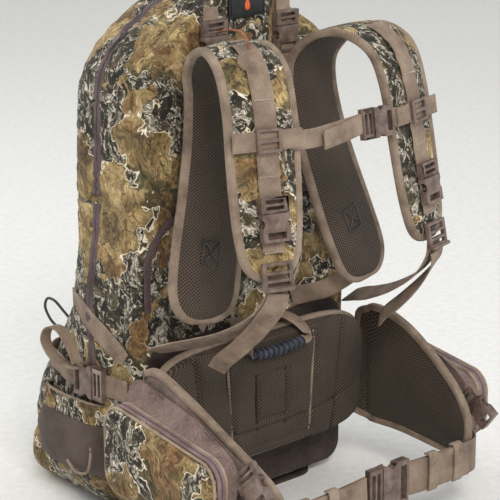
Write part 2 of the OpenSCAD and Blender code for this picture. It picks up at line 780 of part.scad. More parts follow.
base_panel();
bag_shell();
lower_back_panel();
frame_sheet();
frame_stays();
back_foam();
hydration_sleeve();
lower_pocket();
mesh_side_pockets();
cord_loops();
main_zipper_tape();
main_flap();
flap_zipper_tape();
main_slider(-1);  // main_slider_left
main_slider(1);  // main_slider_right
access_zippers();
access_slider(-1);  // access_slider_left
access_slider(1);  // access_slider_right
pocket_zipper();
pocket_slider();
side_straps();
side_buckle_females();
side_buckle(-1, false);  // side_buckle_male_left
side_buckle(1, false);  // side_buckle_male_right
haul_handle();
hydration_patch();
lumbar_pad();
lumbar_handle();
stabiliser_panels();
shoulder_strap(-1);  // shoulder_strap_left
shoulder_strap(1);  // shoulder_strap_right
strap_ladder_webbing();
lock_piece(-1);  // ladder_lock_left
lock_piece(1);  // ladder_lock_right
harness_webbing();
lifter_webbing();
lifter_females();
lifter_buckle(-1, false);  // lifter_male_left
lifter_buckle(1, false);  // lifter_male_right
sternum_webbing();
sternum_sliders();
sternum_buckle(true);  // sternum_female
sternum_buckle(false);  // sternum_male
accessory_females();
accessory_buckle(-1, false);  // accessory_male_left
accessory_buckle(1, false);  // accessory_male_right
hip_wing(-1);  // hip_wing_left
hip_wing(1);  // hip_wing_right
pouch_body(-1);  // pouch_body_left
pouch_body(1);  // pouch_body_right
pouch_face(-1);  // pouch_face_left
pouch_face(1);  // pouch_face_right
pouch_slider(-1);  // pouch_slider_left
pouch_slider(1);  // pouch_slider_right
waist_webbing(-1);  // waist_webbing_left
waist_webbing(1);  // waist_webbing_right
waist_buckle(false);  // waist_buckle_male
waist_buckle(true);  // waist_buckle_female
wing_buckle(-1);  // wing_buckle_left
wing_buckle(1);  // wing_buckle_right
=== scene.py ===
"""Dresses the hunting backpack's CAD frame: cloth, padding, webbing, zips and moulded buckles."""

import json
import logging
import math
from dataclasses import dataclass
from enum import Enum
from typing import Callable, Sequence

import bmesh
import bpy
import numpy as np
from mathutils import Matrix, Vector


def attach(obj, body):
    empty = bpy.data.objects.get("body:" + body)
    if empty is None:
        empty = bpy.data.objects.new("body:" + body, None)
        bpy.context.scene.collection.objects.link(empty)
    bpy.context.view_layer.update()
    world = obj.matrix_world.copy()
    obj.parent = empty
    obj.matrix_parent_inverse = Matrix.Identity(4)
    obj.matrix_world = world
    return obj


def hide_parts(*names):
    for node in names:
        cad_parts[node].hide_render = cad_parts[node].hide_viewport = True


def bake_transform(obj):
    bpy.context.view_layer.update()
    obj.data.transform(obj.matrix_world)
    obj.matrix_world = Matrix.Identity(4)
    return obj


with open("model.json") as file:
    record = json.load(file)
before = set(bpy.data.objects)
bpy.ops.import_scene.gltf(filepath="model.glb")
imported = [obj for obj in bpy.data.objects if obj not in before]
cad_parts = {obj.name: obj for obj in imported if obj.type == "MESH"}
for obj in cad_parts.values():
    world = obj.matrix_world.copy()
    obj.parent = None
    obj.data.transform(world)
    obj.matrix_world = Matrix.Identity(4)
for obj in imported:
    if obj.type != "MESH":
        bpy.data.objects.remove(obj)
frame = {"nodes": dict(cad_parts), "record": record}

LOG = logging.getLogger("backpack")
MM = 0.001
RNG_SEED = 7
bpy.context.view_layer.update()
Array = np.ndarray


class Side(Enum):
    """Which half of the pack a piece belongs to, as the sign of its X."""

    LEFT = -1
    RIGHT = 1

    @property
    def tag(self) -> str:
        """Returns the side's name as it stands in node and body names."""
        return self.name.lower()


# ---------------------------------------------------------------- colour and node helpers


def linear(hex_colour: str) -> tuple[float, float, float, float]:
    """Turns an sRGB hex colour into linear RGBA.

    Args:
        hex_colour: six hex digits with a leading hash.

    Returns:
        Linear red, green, blue and alpha 1.
    """
    values = [int(hex_colour[i : i + 2], 16) / 255 for i in (1, 3, 5)]
    rgb = [v / 12.92 if v <= 0.04045 else ((v + 0.055) / 1.055) ** 2.4 for v in values]
    return (rgb[0], rgb[1], rgb[2], 1.0)


def add(tree: bpy.types.NodeTree, kind: str, settings: dict | None = None,
        links: dict | None = None) -> bpy.types.Node:
    """Adds one shader node.

    Args:
        tree: the material's node tree.
        kind: the node type without its ShaderNode prefix.
        settings: property names, or input names or indices, with their values.
        links: input names or indices, with the output socket that feeds each.

    Returns:
        The new node.
    """
    made = tree.nodes.new("ShaderNode" + kind)
    for key, value in (settings or {}).items():
        if isinstance(key, str) and hasattr(made, key):
            setattr(made, key, value)
        else:
            made.inputs[key].default_value = value
    for key, socket in (links or {}).items():
        tree.links.new(socket, made.inputs[key])
    return made


def ramp(tree: bpy.types.NodeTree, source: bpy.types.NodeSocket, stops: Sequence[tuple[float, str]],
         sharp: bool = False) -> bpy.types.NodeSocket:
    """Adds a colour ramp.

    Args:
        tree: the material's node tree.
        source: the value that drives the ramp.
        stops: positions from 0 to 1 with their hex colours.
        sharp: True for flat steps of colour.

    Returns:
        The ramp's colour output.
    """
    made = add(tree, "ValToRGB", links={"Fac": source})
    made.color_ramp.interpolation = "CONSTANT" if sharp else "LINEAR"
    elements = made.color_ramp.elements
    while len(elements) < len(stops):
        elements.new(0.5)
    for element, (place, colour) in zip(elements, sorted(stops)):
        element.position = place
        element.color = linear(colour)
    return made.outputs["Color"]


def noise(tree: bpy.types.NodeTree, vector: bpy.types.NodeSocket, size_mm: float, detail: float = 2.0,
          rough: float = 0.5, warp: float = 0.0) -> bpy.types.NodeSocket:
    """Adds a noise whose features are about size_mm across and returns its value."""
    made = add(tree, "TexNoise", {"Scale": 1 / (size_mm * MM), "Detail": detail, "Roughness": rough,
                                  "Distortion": warp}, {"Vector": vector})
    return made.outputs["Fac"]


def maths(tree: bpy.types.NodeTree, operation: str, a: object, b: object = 0.0,
          clamp: bool = False) -> bpy.types.NodeSocket:
    """Adds a maths node on two values or sockets and returns its output."""
    made = add(tree, "Math", {"operation": operation, "use_clamp": clamp})
    for index, value in enumerate((a, b)):
        if isinstance(value, (int, float)):
            made.inputs[index].default_value = value
        else:
            tree.links.new(value, made.inputs[index])
    return made.outputs[0]


def blend_colour(tree: bpy.types.NodeTree, factor: bpy.types.NodeSocket | float, a: object, b: object,
                 mode: str = "MIX") -> bpy.types.NodeSocket:
    """Mixes two colours, each a hex string or a socket, and returns the result."""
    made = add(tree, "Mix", {"data_type": "RGBA", "blend_type": mode, "clamp_factor": True})
    for index, value in ((0, factor), (6, a), (7, b)):
        if isinstance(value, float):
            made.inputs[index].default_value = value
        elif isinstance(value, str):
            made.inputs[index].default_value = linear(value)
        else:
            tree.links.new(value, made.inputs[index])
    return made.outputs[2]


def step(tree: bpy.types.NodeTree, value: bpy.types.NodeSocket, low: float,
         high: float) -> bpy.types.NodeSocket:
    """Maps a value from the range low to high onto 0 to 1, smoothly and clamped."""
    made = add(tree, "MapRange", {"interpolation_type": "SMOOTHSTEP", "From Min": low, "From Max": high},
               {"Value": value})
    return made.outputs[0]


# ---------------------------------------------------------------- finishes


@dataclass(frozen=True)
class Finish:
    """A named finish: the base class of every material here.

    Attributes:
        name: the material's name.
        roughness: the shader's roughness.
        sheen: weight of the fabric sheen.
        bump_mm: height of the fine relief.
    """

    name: str
    roughness: float = 0.8
    sheen: float = 0.0
    bump_mm: float = 0.3

    def pattern(self, tree: bpy.types.NodeTree) -> tuple[bpy.types.NodeSocket, bpy.types.NodeSocket]:
        """Builds the colour and the height of the surface and returns both sockets."""
        raise NotImplementedError

    def make(self) -> bpy.types.Material:
        """Builds the material once and returns it."""
        if self.name in bpy.data.materials:
            return bpy.data.materials[self.name]
        material = bpy.data.materials.new(self.name)
        material.use_nodes = True
        tree = material.node_tree
        tree.nodes.clear()
        colour, height = self.pattern(tree)
        bump = add(tree, "Bump", {"Strength": 1.0, "Distance": self.bump_mm * MM}, {"Height": height})
        shader = add(tree, "BsdfPrincipled",
                     {"Roughness": self.roughness, "IOR": 1.5, "Sheen Weight": self.sheen,
                      "Sheen Roughness": 0.5},
                     {"Base Color": colour, "Normal": bump.outputs[0]})
        self.tune(shader)
        add(tree, "OutputMaterial", links={"Surface": shader.outputs[0]})
        material.diffuse_color = (0.4, 0.33, 0.28, 1)
        return material

    def tune(self, shader: bpy.types.Node) -> None:
        """Sets what a particular finish changes on its shader."""


def object_coords(tree: bpy.types.NodeTree) -> bpy.types.NodeSocket:
    """Returns the object coordinates, which are metres in the pack's own frame."""
    return add(tree, "TexCoord").outputs["Object"]


def surface_coords(tree: bpy.types.NodeTree) -> tuple[bpy.types.NodeSocket, bpy.types.NodeSocket]:
    """Returns the along and across coordinates of a surface's own map, in metres."""
    split = add(tree, "SeparateXYZ", links={"Vector": add(tree, "UVMap", {"uv_map": "cloth"}).outputs[0]})
    return split.outputs[0], split.outputs[1]


def stripes(tree: bpy.types.NodeTree, along: bpy.types.NodeSocket, pitch_mm: float,
            across: bpy.types.NodeSocket | None = None, slant: float = 0.0) -> bpy.types.NodeSocket:
    """Returns a sine of the given pitch, from 0 to 1, slanted by slant of the across coordinate."""
    if across is not None:
        along = maths(tree, "ADD", along, maths(tree, "MULTIPLY", across, slant))
    wave = maths(tree, "SINE", maths(tree, "MULTIPLY", along, 2 * math.pi / (pitch_mm * MM)))
    return maths(tree, "ADD", maths(tree, "MULTIPLY", wave, 0.5), 0.5)


@dataclass(frozen=True)
class PrintedCloth(Finish):
    """Brushed polyester printed with leaves, bark and branches: tan fields, dark hollows and pale bark.

    The eye sees soft-edged tan and rust fields, near-black hollows rimmed by a thin cream line, and grey
    bark flakes inside the hollows.
    """

    field_mm: float = 95
    shift: float = 0.0

    def pattern(self, tree: bpy.types.NodeTree) -> tuple[bpy.types.NodeSocket, bpy.types.NodeSocket]:
        """Layers the print: tan field, rust patches, grass streaks, dark hollows, bark flakes and rims."""
        raw = object_coords(tree)
        place = add(tree, "Mapping", {"Location": (self.shift, self.shift * 0.7, self.shift * 1.3),
                                      "Rotation": (0.3, 0.5, 0.2)}, {"Vector": raw}).outputs[0]
        drift = add(tree, "TexNoise", {"Scale": 22.0, "Detail": 3.0, "Roughness": 0.6}, {"Vector": place})
        offset = add(tree, "VectorMath", {"operation": "MULTIPLY_ADD"}, {0: drift.outputs["Color"], 2: place})
        offset.inputs[1].default_value = (0.055, 0.055, 0.055)
        warped = offset.outputs[0]
        streak_place = add(tree, "Mapping", {"Scale": (1.0, 1.0, 0.22), "Rotation": (0.35, 0.2, 0.0)},
                           {"Vector": warped}).outputs[0]
        streaks = noise(tree, streak_place, 4.2, 4.0, 0.68)
        patches = noise(tree, warped, 60, 3.0, 0.6)
        tan = ramp(tree, streaks, [(0.3, "#625032"), (0.43, "#9C8354"), (0.56, "#BCA577"), (0.72, "#D9C8A0")])
        rust = ramp(tree, streaks, [(0.3, "#46331F"), (0.46, "#7E5F3D"), (0.6, "#A28158"), (0.75, "#C9B28C")])
        field = blend_colour(tree, step(tree, patches, 0.5, 0.6), tan, rust)
        khaki = ramp(tree, streaks, [(0.35, "#3D3824"), (0.55, "#6C6240"), (0.7, "#968A62")])
        field = blend_colour(tree, step(tree, noise(tree, warped, 48, 2.0), 0.53, 0.62), field, khaki)
        shade = ramp(tree, noise(tree, warped, 32, 2.0, 0.5),
                     [(0.34, "#857F74"), (0.48, "#D6D2CA"), (0.6, "#FFFFFF")])
        field = blend_colour(tree, 0.85, field, shade, "MULTIPLY")
        fur = ramp(tree, noise(tree, streak_place, 2.2, 3.0, 0.75),
                   [(0.36, "#7C7468"), (0.5, "#E6E2DA"), (0.6, "#FFFFFF")])
        field = blend_colour(tree, step(tree, noise(tree, warped, 40, 2.0, 0.5, 0.4), 0.45, 0.55), field,
                             blend_colour(tree, 0.9, field, fur, "MULTIPLY"))
        mask = noise(tree, warped, self.field_mm, 3.5, 0.58)
        dark = ramp(tree, noise(tree, warped, 14, 4.0, 0.7),
                    [(0.36, "#0F0D09"), (0.48, "#252016"), (0.6, "#453D2C"), (0.72, "#6C634D")])
        flakes_size = noise(tree,
                            add(tree, "Mapping", {"Scale": (1.0, 1.0, 0.55)}, {"Vector": warped}).outputs[0],
                            9, 4.0, 0.75, 0.8)
        flakes = ramp(tree, noise(tree, warped, 4, 3.0, 0.75),
                      [(0.36, "#5B5346"), (0.5, "#9C9484"), (0.64, "#E2DDD0")])
        dark = blend_colour(tree, step(tree, flakes_size, 0.51, 0.55), dark, flakes)
        inside = step(tree, mask, 0.49, 0.498)
        colour = blend_colour(tree, inside, field, dark)
        rim = maths(tree, "ABSOLUTE", maths(tree, "SUBTRACT", mask, 0.486))
        rim = maths(tree, "SUBTRACT", 1.0, step(tree, rim, 0.0022, 0.0058))
        where = step(tree, noise(tree, warped, 70, 1.0), 0.44, 0.5)
        colour = blend_colour(tree, maths(tree, "MULTIPLY", rim, where), colour, "#E8DEC8")
        bark = maths(tree, "MULTIPLY", step(tree, noise(tree, warped, 16, 5.0, 0.75, 1.2), 0.57, 0.6),
                     maths(tree, "SUBTRACT", 1.0, inside))
        colour = blend_colour(tree, maths(tree, "MULTIPLY", bark, 0.8), colour, "#33291A")
        weave = add(tree, "TexNoise", {"Scale": 900.0, "Detail": 1.0}, {"Vector": raw}).outputs["Fac"]
        puckers = noise(tree, raw, 26, 4.0, 0.6)
        height = maths(tree, "ADD", maths(tree, "MULTIPLY", weave, 0.25),
                       maths(tree, "MULTIPLY", puckers, 1.1))
        return colour, height


@dataclass(frozen=True)
class PlainCloth(Finish):
    """Woven packcloth in one colour: a slightly mottled matt nylon with a fine square weave."""

    dark: str = "#5F4B45"
    mid: str = "#80695F"
    light: str = "#9A8378"
    thread_mm: float = 1.6

    def pattern(self, tree: bpy.types.NodeTree) -> tuple[bpy.types.NodeSocket, bpy.types.NodeSocket]:
        """Mottles the colour, and raises a basket weave whose threads are drawn coarse enough to show."""
        raw = object_coords(tree)
        mottle = maths(tree, "ADD", maths(tree, "MULTIPLY", noise(tree, raw, 34, 4.0, 0.6), 0.6),
                       maths(tree, "MULTIPLY", noise(tree, raw, 2.6, 2.0, 0.7), 0.4))
        colour = ramp(tree, mottle, [(0.36, self.dark), (0.5, self.mid), (0.64, self.light)])
        split = add(tree, "SeparateXYZ", links={"Vector": raw})
        weave = maths(tree, "MULTIPLY", stripes(tree, split.outputs[2], self.thread_mm),
                      stripes(tree, maths(tree, "ADD", split.outputs[0], split.outputs[1]), self.thread_mm))
        puckers = noise(tree, raw, 22, 4.0, 0.6)
        return colour, maths(tree, "ADD", maths(tree, "MULTIPLY", weave, 0.5),
                             maths(tree, "MULTIPLY", puckers, 1.6))


@dataclass(frozen=True)
class SpacerMesh(Finish):
    """Knitted spacer mesh over foam: holes painted near-black as shade in the knit's hollows, in a slightly
    lighter honeycomb of yarn.
    """

    hole_shade: str = "#1B1612"
    yarn: str = "#6A5B4E"
    pitch_mm: float = 3.6

    def pattern(self, tree: bpy.types.NodeTree) -> tuple[bpy.types.NodeSocket, bpy.types.NodeSocket]:
        """Crosses two slanted sets of ribs on the piece's own map, so the holes are diamonds."""
        along, across = surface_coords(tree)
        one = stripes(tree, along, self.pitch_mm, across, 0.9)
        two = stripes(tree, along, self.pitch_mm, across, -0.9)
        grid = maths(tree, "MAXIMUM", one, two)
        raw = object_coords(tree)
        worn = noise(tree, raw, 40, 3.0, 0.6)
        yarn = blend_colour(tree, step(tree, worn, 0.35, 0.7), self.yarn, "#54473C")
        # painted shade: the holes between the ribs take the dark hole colour, the ribs take the yarn colour
        colour = blend_colour(tree, step(tree, grid, 0.55, 0.93), self.hole_shade, yarn)
        return colour, grid


@dataclass(frozen=True)
class Webbing(Finish):
    """Woven nylon or polyester webbing: flat ribs across the band and a herringbone with painted shade in its
    hollows.
    """

    dark: str = "#7C695F"
    mid: str = "#998477"
    light: str = "#B5A093"
    rib_mm: float = 2.6

    def pattern(self, tree: bpy.types.NodeTree) -> tuple[bpy.types.NodeSocket, bpy.types.NodeSocket]:
        """Slants the ribs, paints shade into the hollows between ribs and cords, and mottles the whole with
        wear.
        """
        along, across = surface_coords(tree)
        rib = stripes(tree, along, self.rib_mm, across, 0.6)
        cord = stripes(tree, across, 2.2)
        raw = object_coords(tree)
        wear = noise(tree, raw, 30, 4.0, 0.65)
        base = ramp(tree, wear, [(0.32, self.dark), (0.5, self.mid), (0.7, self.light)])
        shade = maths(tree, "ADD", maths(tree, "MULTIPLY", rib, 0.6), maths(tree, "MULTIPLY", cord, 0.4))
        # painted shade: the low parts of the weave, between ribs and cords, are darkened towards a dark brown
        groove_shade = maths(tree, "SUBTRACT", 1.0, step(tree, shade, 0.1, 0.55))
        colour = blend_colour(tree, maths(tree, "MULTIPLY", groove_shade, 0.42), base, "#4F4039")
        return colour, maths(tree, "ADD", rib, maths(tree, "MULTIPLY", cord, 0.5))


@dataclass(frozen=True)
class Moulded(Finish):
    """Injection-moulded acetal or painted zinc: smooth, low sheen, lighter where handling has rubbed it."""

    dark: str = "#4C3F38"
    mid: str = "#6C5A50"
    light: str = "#85736A"

    def pattern(self, tree: bpy.types.NodeTree) -> tuple[bpy.types.NodeSocket, bpy.types.NodeSocket]:
        """Mottles the colour a little and adds a fine moulding grain."""
        raw = object_coords(tree)
        colour = ramp(tree, noise(tree, raw, 12, 3.0, 0.6),
                      [(0.3, self.dark), (0.5, self.mid), (0.75, self.light)])
        grain = noise(tree, raw, 0.9, 1.0, 0.5)
        return colour, grain


CAMO = PrintedCloth("brushed_polyester_camouflage", 0.88, 0.04, 0.5)
CAMO_POUCH = PrintedCloth("brushed_polyester_camouflage_pouch", 0.88, 0.04, 0.45, shift=0.37)
CAMO_STRAP = PrintedCloth("brushed_polyester_camouflage_strap", 0.88, 0.04, 0.3, field_mm=70, shift=0.81)
BROWN = PlainCloth("dark_brown_ripstop", 0.82, 0.03, 0.25, "#241A17", "#352823", "#46372F")
COYOTE = PlainCloth("coyote_packcloth", 0.85, 0.05, 0.3, "#5B4A43", "#7A6660", "#8F7C73")
LINING = PlainCloth("coated_lining", 0.6, 0.0, 0.2, "#3B342C", "#51483D", "#645A4C")
# The first colour of each spacer mesh is the painted shade seen through its holes.
MESH = SpacerMesh("knitted_spacer_mesh", 0.9, 0.02, 0.7, "#14100D", "#5E5044")
MESH_FINE = SpacerMesh("stretch_pocket_mesh", 0.85, 0.04, 0.4, "#2A221F", "#6E5E57", 2.4)
TAPE = Webbing("woven_polyester_webbing", 0.8, 0.05, 0.35, "#6B5B4E", "#8E7A69", "#A69481")
BINDING = Webbing("grosgrain_binding", 0.82, 0.05, 0.3, "#6F5E50", "#927F6D", "#AA9886", 1.8)
ACETAL = Moulded("moulded_acetal", 0.45, 0.0, 0.05)
PAINTED = Moulded("painted_zinc", 0.4, 0.0, 0.05, "#3E3434", "#56484A", "#72625F")
RUBBER = Moulded("ribbed_rubber", 0.6, 0.0, 0.12, "#23252D", "#383C49", "#525766")
PATCH = Moulded("moulded_patch_rubber", 0.5, 0.0, 0.08, "#0E0E10", "#17171A", "#242428")
MARK = Moulded("moulded_mark_orange", 0.5, 0.0, 0.05, "#B8481C", "#D8602A", "#E88450")
THREAD = Moulded("polyester_thread", 0.7, 0.2, 0.1, "#A18F80", "#BBA999", "#D0C2B4")
THREAD_DARK = Moulded("polyester_thread_dark", 0.7, 0.2, 0.1, "#14100E", "#1D1714", "#2B231F")
WELT = Webbing("zip_tape_cloth", 0.75, 0.05, 0.2, "#3C2E2F", "#564547", "#6D5B5E", 1.4)
WELT_POUCH = Webbing("pouch_zip_tape_cloth", 0.75, 0.05, 0.2, "#6A5557", "#87706F", "#A08A88", 1.4)
WELT_CAMO = PrintedCloth("camouflage_piping", 0.9, 0.04, 0.2, shift=0.55)
PIPING = Webbing("folded_cloth_piping", 0.82, 0.05, 0.25, "#86735F", "#A8937C", "#C0AC95", 1.8)
ZIPPER_TEETH = Moulded("nylon_coil_teeth", 0.45, 0.0, 0.05, "#3D3034", "#54454A", "#6E5E62")
FLOOR = Moulded("matt_paper", 0.9, 0.0, 0.02, "#E6E6E4", "#ECECEA", "#F2F2F0")
CORD = Moulded("braided_elastic_cord", 0.75, 0.02, 0.15, "#2C2A2E", "#3F3C42", "#57535A")
CORD_ORANGE = Moulded("braided_orange_cord", 0.75, 0.05, 0.15, "#6E3A22", "#9A5A38", "#B9805C")
FOAM = Moulded("closed_cell_foam", 0.9, 0.0, 0.2, "#B8B2A4", "#CAC4B6", "#D8D3C6")
SHEET = Moulded("polyethylene_sheet", 0.45, 0.0, 0.05, "#101012", "#18181B", "#242428")


@dataclass(frozen=True)
class Aluminium(Finish):
    """Mill-finish aluminium bar: fine streaks along its rolling direction."""

    def pattern(self, tree: bpy.types.NodeTree) -> tuple[bpy.types.NodeSocket, bpy.types.NodeSocket]:
        """Stretches a noise along Z for the rolling streaks."""
        lines = add(tree, "Mapping", {"Scale": (1.0, 1.0, 0.03)}, {"Vector": object_coords(tree)}).outputs[0]
        streak = noise(tree, lines, 1.5, 2.0)
        return ramp(tree, streak, [(0.3, "#B4B6BA"), (0.7, "#D6D8DC")]), streak

    def tune(self, shader: bpy.types.Node) -> None:
        """Makes the surface metal."""
        shader.inputs["Metallic"].default_value = 1.0


STAY = Aluminium("mill_finish_aluminium", 0.35, 0.0, 0.03)


# ---------------------------------------------------------------- surfaces; lengths are in millimetres


def unit(v: Array) -> Array:
    """Scales each vector to length 1."""
    return v / np.maximum(np.linalg.norm(v, axis=-1, keepdims=True), 1e-9)


def catmull(rows: Sequence[Sequence[float]], steps: int) -> Array:
    """Threads a Catmull-Rom curve through rows of numbers.

    Each stretch is 0.5 * (2b + (c-a)t + (2a-5b+4c-d)t^2 + (3b-a-3c+d)t^3), as in the CAD's bands.

    Args:
        rows: the rows to pass through.
        steps: how many points each stretch gets.

    Returns:
        The dense rows, ending with the last one given.
    """
    r = np.asarray(rows, float)
    i = np.arange(len(r) - 1)
    a, b, c, d = r[np.maximum(i - 1, 0)], r[i], r[i + 1], r[np.minimum(i + 2, len(r) - 1)]
    t = (np.arange(steps) / steps)[None, :, None]
    a, b, c, d = (v[:, None] for v in (a, b, c, d))
    curve = 0.5 * (2 * b + (c - a) * t + (2 * a - 5 * b + 4 * c - d) * t**2 + (3 * b - a - 3 * c + d) * t**3)
    return np.vstack([curve.reshape(-1, r.shape[1]), r[-1:]])


def run_length(path: Array) -> Array:
    """Returns the distance travelled along a path at each of its points."""
    return np.concatenate([[0.0], np.cumsum(np.linalg.norm(np.diff(path, axis=0), axis=1))])


def looped(path: Array) -> Array:
    """Closes a path by adding its first point again at its end."""
    return np.vstack([path, path[:1]])


def resampled(table: Array, run: Array, at: Array) -> Array:
    """Reads each column of a table, which is given along a run, at other distances along it."""
    return np.stack([np.interp(at, run, column) for column in table.T], 1)


def ripple(points: Array, size: float, seed: int, waves: int = 9) -> Array:
    """Returns a smooth field between about -1 and 1 over points.

    It is the mean of several sines, sin(k.p + phase), whose wave vectors k have random directions and
    wavelengths between 0.7 and 1.6 of size.
    """
    rng = np.random.default_rng(RNG_SEED + seed)
    k = unit(rng.normal(size=(waves, 3))) * (2 * np.pi / (size * rng.uniform(0.7, 1.6, waves)))[:, None]
    phase = rng.uniform(0, 2 * np.pi, waves)
    return np.sin(points @ k.T + phase).sum(-1) / waves**0.5 / 1.2


def creases(points: Array, size: float, seed: int) -> Array:
    """Returns sharp valleys between soft swellings, from 0 at a valley to 1 at a crest."""
    return np.sqrt(np.abs(np.clip(ripple(points, size, seed), -1, 1)))


def mesh_object(name: str, points: Array, faces: Sequence[Sequence[int]] | Array, uv: Array | None = None,
                materials: Sequence[bpy.types.Material] = (), picks: Array | None = None,
                sharp_deg: float = 180.0) -> bpy.types.Object:
    """Puts whole arrays into a new mesh object.

    Args:
        name: the piece's name.
        points: vertices in millimetres.
        faces: vertex numbers of each face.
        uv: a coordinate pair for each face corner, in millimetres.
        materials: the materials of the piece.
        picks: the material number of each face.
        sharp_deg: edges that bend more than this stay sharp.

    Returns:
        The linked object.
    """
    mesh = bpy.data.meshes.new(name)
    mesh.from_pydata((np.asarray(points).reshape(-1, 3) * MM).tolist(), [],
                     [list(map(int, f)) for f in faces])
    if uv is not None:
        layer = mesh.uv_layers.new(name="cloth")
        layer.data.foreach_set("uv", (np.asarray(uv, float) * MM).ravel())
    for material in materials:
        mesh.materials.append(material)
    if picks is not None:
        mesh.polygons.foreach_set("material_index", np.asarray(picks, int))
    mesh.polygons.foreach_set("use_smooth", np.ones(len(mesh.polygons), bool))
    if sharp_deg < 180:
        mesh.set_sharp_from_angle(angle=math.radians(sharp_deg))
    mesh.validate()
    mesh.update()
    made = bpy.data.objects.new(name, mesh)
    bpy.context.scene.collection.objects.link(made)
    return made


def grid_faces(m: int, n: int, along: Array, around: Array, wrap_m: bool,
               wrap_n: bool) -> tuple[Array, Array]:
    """Returns the quads of an m by n grid of points and their corner coordinates.

    Corner (i, j) is point i * n + j. A wrapped direction joins its last row to its first, and its
    coordinate array then has one more value than it has rows.
    """
    i, j = np.meshgrid(np.arange(m - (not wrap_m)), np.arange(n - (not wrap_n)), indexing="ij")
    i, j = i.ravel(), j.ravel()
    corners = [(i, j), (i, j + 1), (i + 1, j + 1), (i + 1, j)]
    faces = np.stack([(a % m) * n + b % n for a, b in corners], 1)
    uv = np.stack([np.stack([along[a], around[b]], -1) for a, b in corners], 1).reshape(-1, 2)
    return faces, uv


def tube(name: str, rings: Array, materials: Sequence[bpy.types.Material], around: Array | None = None,
         closed: bool = False, picks: Callable[[Array, Array], Array] | None = None,
         sharp_deg: float = 180.0) -> bpy.types.Object:
    """Skins rings of points into a closed tube, with a fan on each open end.

    Args:
        name: the piece's name.
        rings: m rings of n points, each turning from the width axis to the thickness axis.
        materials: its materials.
        around: the across coordinate of each ring point, n + 1 values; lengths by default.
        closed: True when the last ring joins the first.
        picks: gives a material number from a face's ring and place in the ring.
        sharp_deg: edges that bend more than this stay sharp.

    Returns:
        The object.
    """
    m, n = rings.shape[:2]
    centre = rings.mean(1)
    path = looped(centre) if closed else centre
    along = run_length(path)
    if around is None:
        around = run_length(looped(rings[m // 2]))
    faces, uv = grid_faces(m, n, along, around, closed, True)
    numbers = np.zeros(len(faces), int)
    if picks is not None:
        rows = np.repeat(np.arange(m - (not closed)), n)
        numbers = picks(rows, np.tile(np.arange(n), m - (not closed)))
    points = rings.reshape(-1, 3)
    faces = faces.tolist()
    uv = uv.tolist()
    numbers = list(numbers)
    if not closed:
        points = np.vstack([points, centre[:1], centre[-1:]])
        for j in range(n):
            k = (j + 1) % n
            faces.append([m * n, k, j])
            faces.append([m * n + 1, (m - 1) * n + j, (m - 1) * n + k])
            uv += [[0, 0], [0, 1], [1, 1], [0, 0], [0, 1], [1, 1]]
            numbers += [numbers[j], numbers[-1]]
    return mesh_object(name, points, faces, np.array(uv), materials, np.array(numbers), sharp_deg)


def rounded_section(count: int, wide_power: float, thick_power: float) -> Array:
    """Returns a closed unit outline, x = sign(cos)|cos|^p and y = sign(sin)|sin|^q, turning from x to y."""
    t = (np.arange(count) + 0.5) * 2 * np.pi / count
    c, s = np.cos(t), np.sin(t)
    return np.stack([np.sign(c) * np.abs(c) ** wide_power, np.sign(s) * np.abs(s) ** thick_power], 1)


FLAT = np.array([[1, 0], [1, 0.55], [0.96, 1], [0.5, 1], [0, 1], [-0.5, 1], [-0.96, 1], [-1, 0.55],
                 [-1, 0], [-1, -0.55], [-0.96, -1], [-0.5, -1], [0, -1], [0.5, -1], [0.96, -1], [1, -0.55]])
FLAT_AROUND = np.append(FLAT[:, 0], FLAT[0, 0])
FLIP = np.array([-1, 1, 1, 1, -1, -1, 1, 1.0])
HALF_20, HALF_25, HALF_38, THIN = 10.0, 12.5, 19.0, 0.9
ACROSS, UPRIGHT = (1, 0, 0), (0, 0, 1)


def stations(points: Sequence[Sequence[float]], *shared: float, thick: float = THIN) -> list[list[float]]:
    """Returns a band's stations; what all of them share, such as the width axis, is given once."""
    return [[*point, *shared, thick] for point in points]


def once(side: Side, node: str) -> tuple[str, ...]:
    """Names a CAD node that holds both sides' solids for the right-hand piece only."""
    return (node,) if side is Side.RIGHT else ()


def axes_of(path: Array, wide: Array) -> tuple[Array, Array, Array]:
    """Returns the unit axes along, through and across a band whose rough width directions are given."""
    along = unit(np.gradient(path, axis=0))
    thick = unit(np.cross(along, wide))
    return along, thick, np.cross(thick, along)


def band_rings(rows: Array, section: Array, lift: Array | float = 0.0) -> Array:
    """Returns the rings of a band: centre + width * x * half width + thickness * (y * half + lift)."""
    _, thick, wide = axes_of(rows[:, :3], rows[:, 3:6])
    lift = np.broadcast_to(lift, (len(rows),))[:, None, None]
    return (rows[:, None, :3] + wide[:, None] * rows[:, 6, None, None] * section[None, :, :1]
            + thick[:, None] * (rows[:, 7, None, None] * section[None, :, 1:] + lift))


def sided(rows: Sequence[Sequence[float]], side: Side) -> Array:
    """Returns band stations for one side; the thickness axis keeps facing the same way off the pack."""
    return np.asarray(rows, float) * (FLIP if side is Side.LEFT else 1.0)


def webbing(name: str, rows: Sequence[Sequence[float]], side: Side = Side.RIGHT, steps: int = 8,
            finish: Finish = TAPE, lift: Callable[[Array], Array] | None = None) -> bpy.types.Object:
    """Builds flat webbing along stations [x, y, z, width axis, half width, half thickness].

    Args:
        name: the piece's name.
        rows: the stations of the right-hand side.
        side: the side it is for.
        steps: points on each stretch.
        finish: its finish.
        lift: raises the band off its path by the distance travelled.

    Returns:
        The object.
    """
    dense = catmull(sided(rows, side), steps)
    rise = lift(run_length(dense[:, :3])) if lift else 0.0
    rings = band_rings(dense, FLAT, rise)
    return tube(name, rings, [finish.make()], FLAT_AROUND * float(dense[:, 6].mean()), sharp_deg=50)


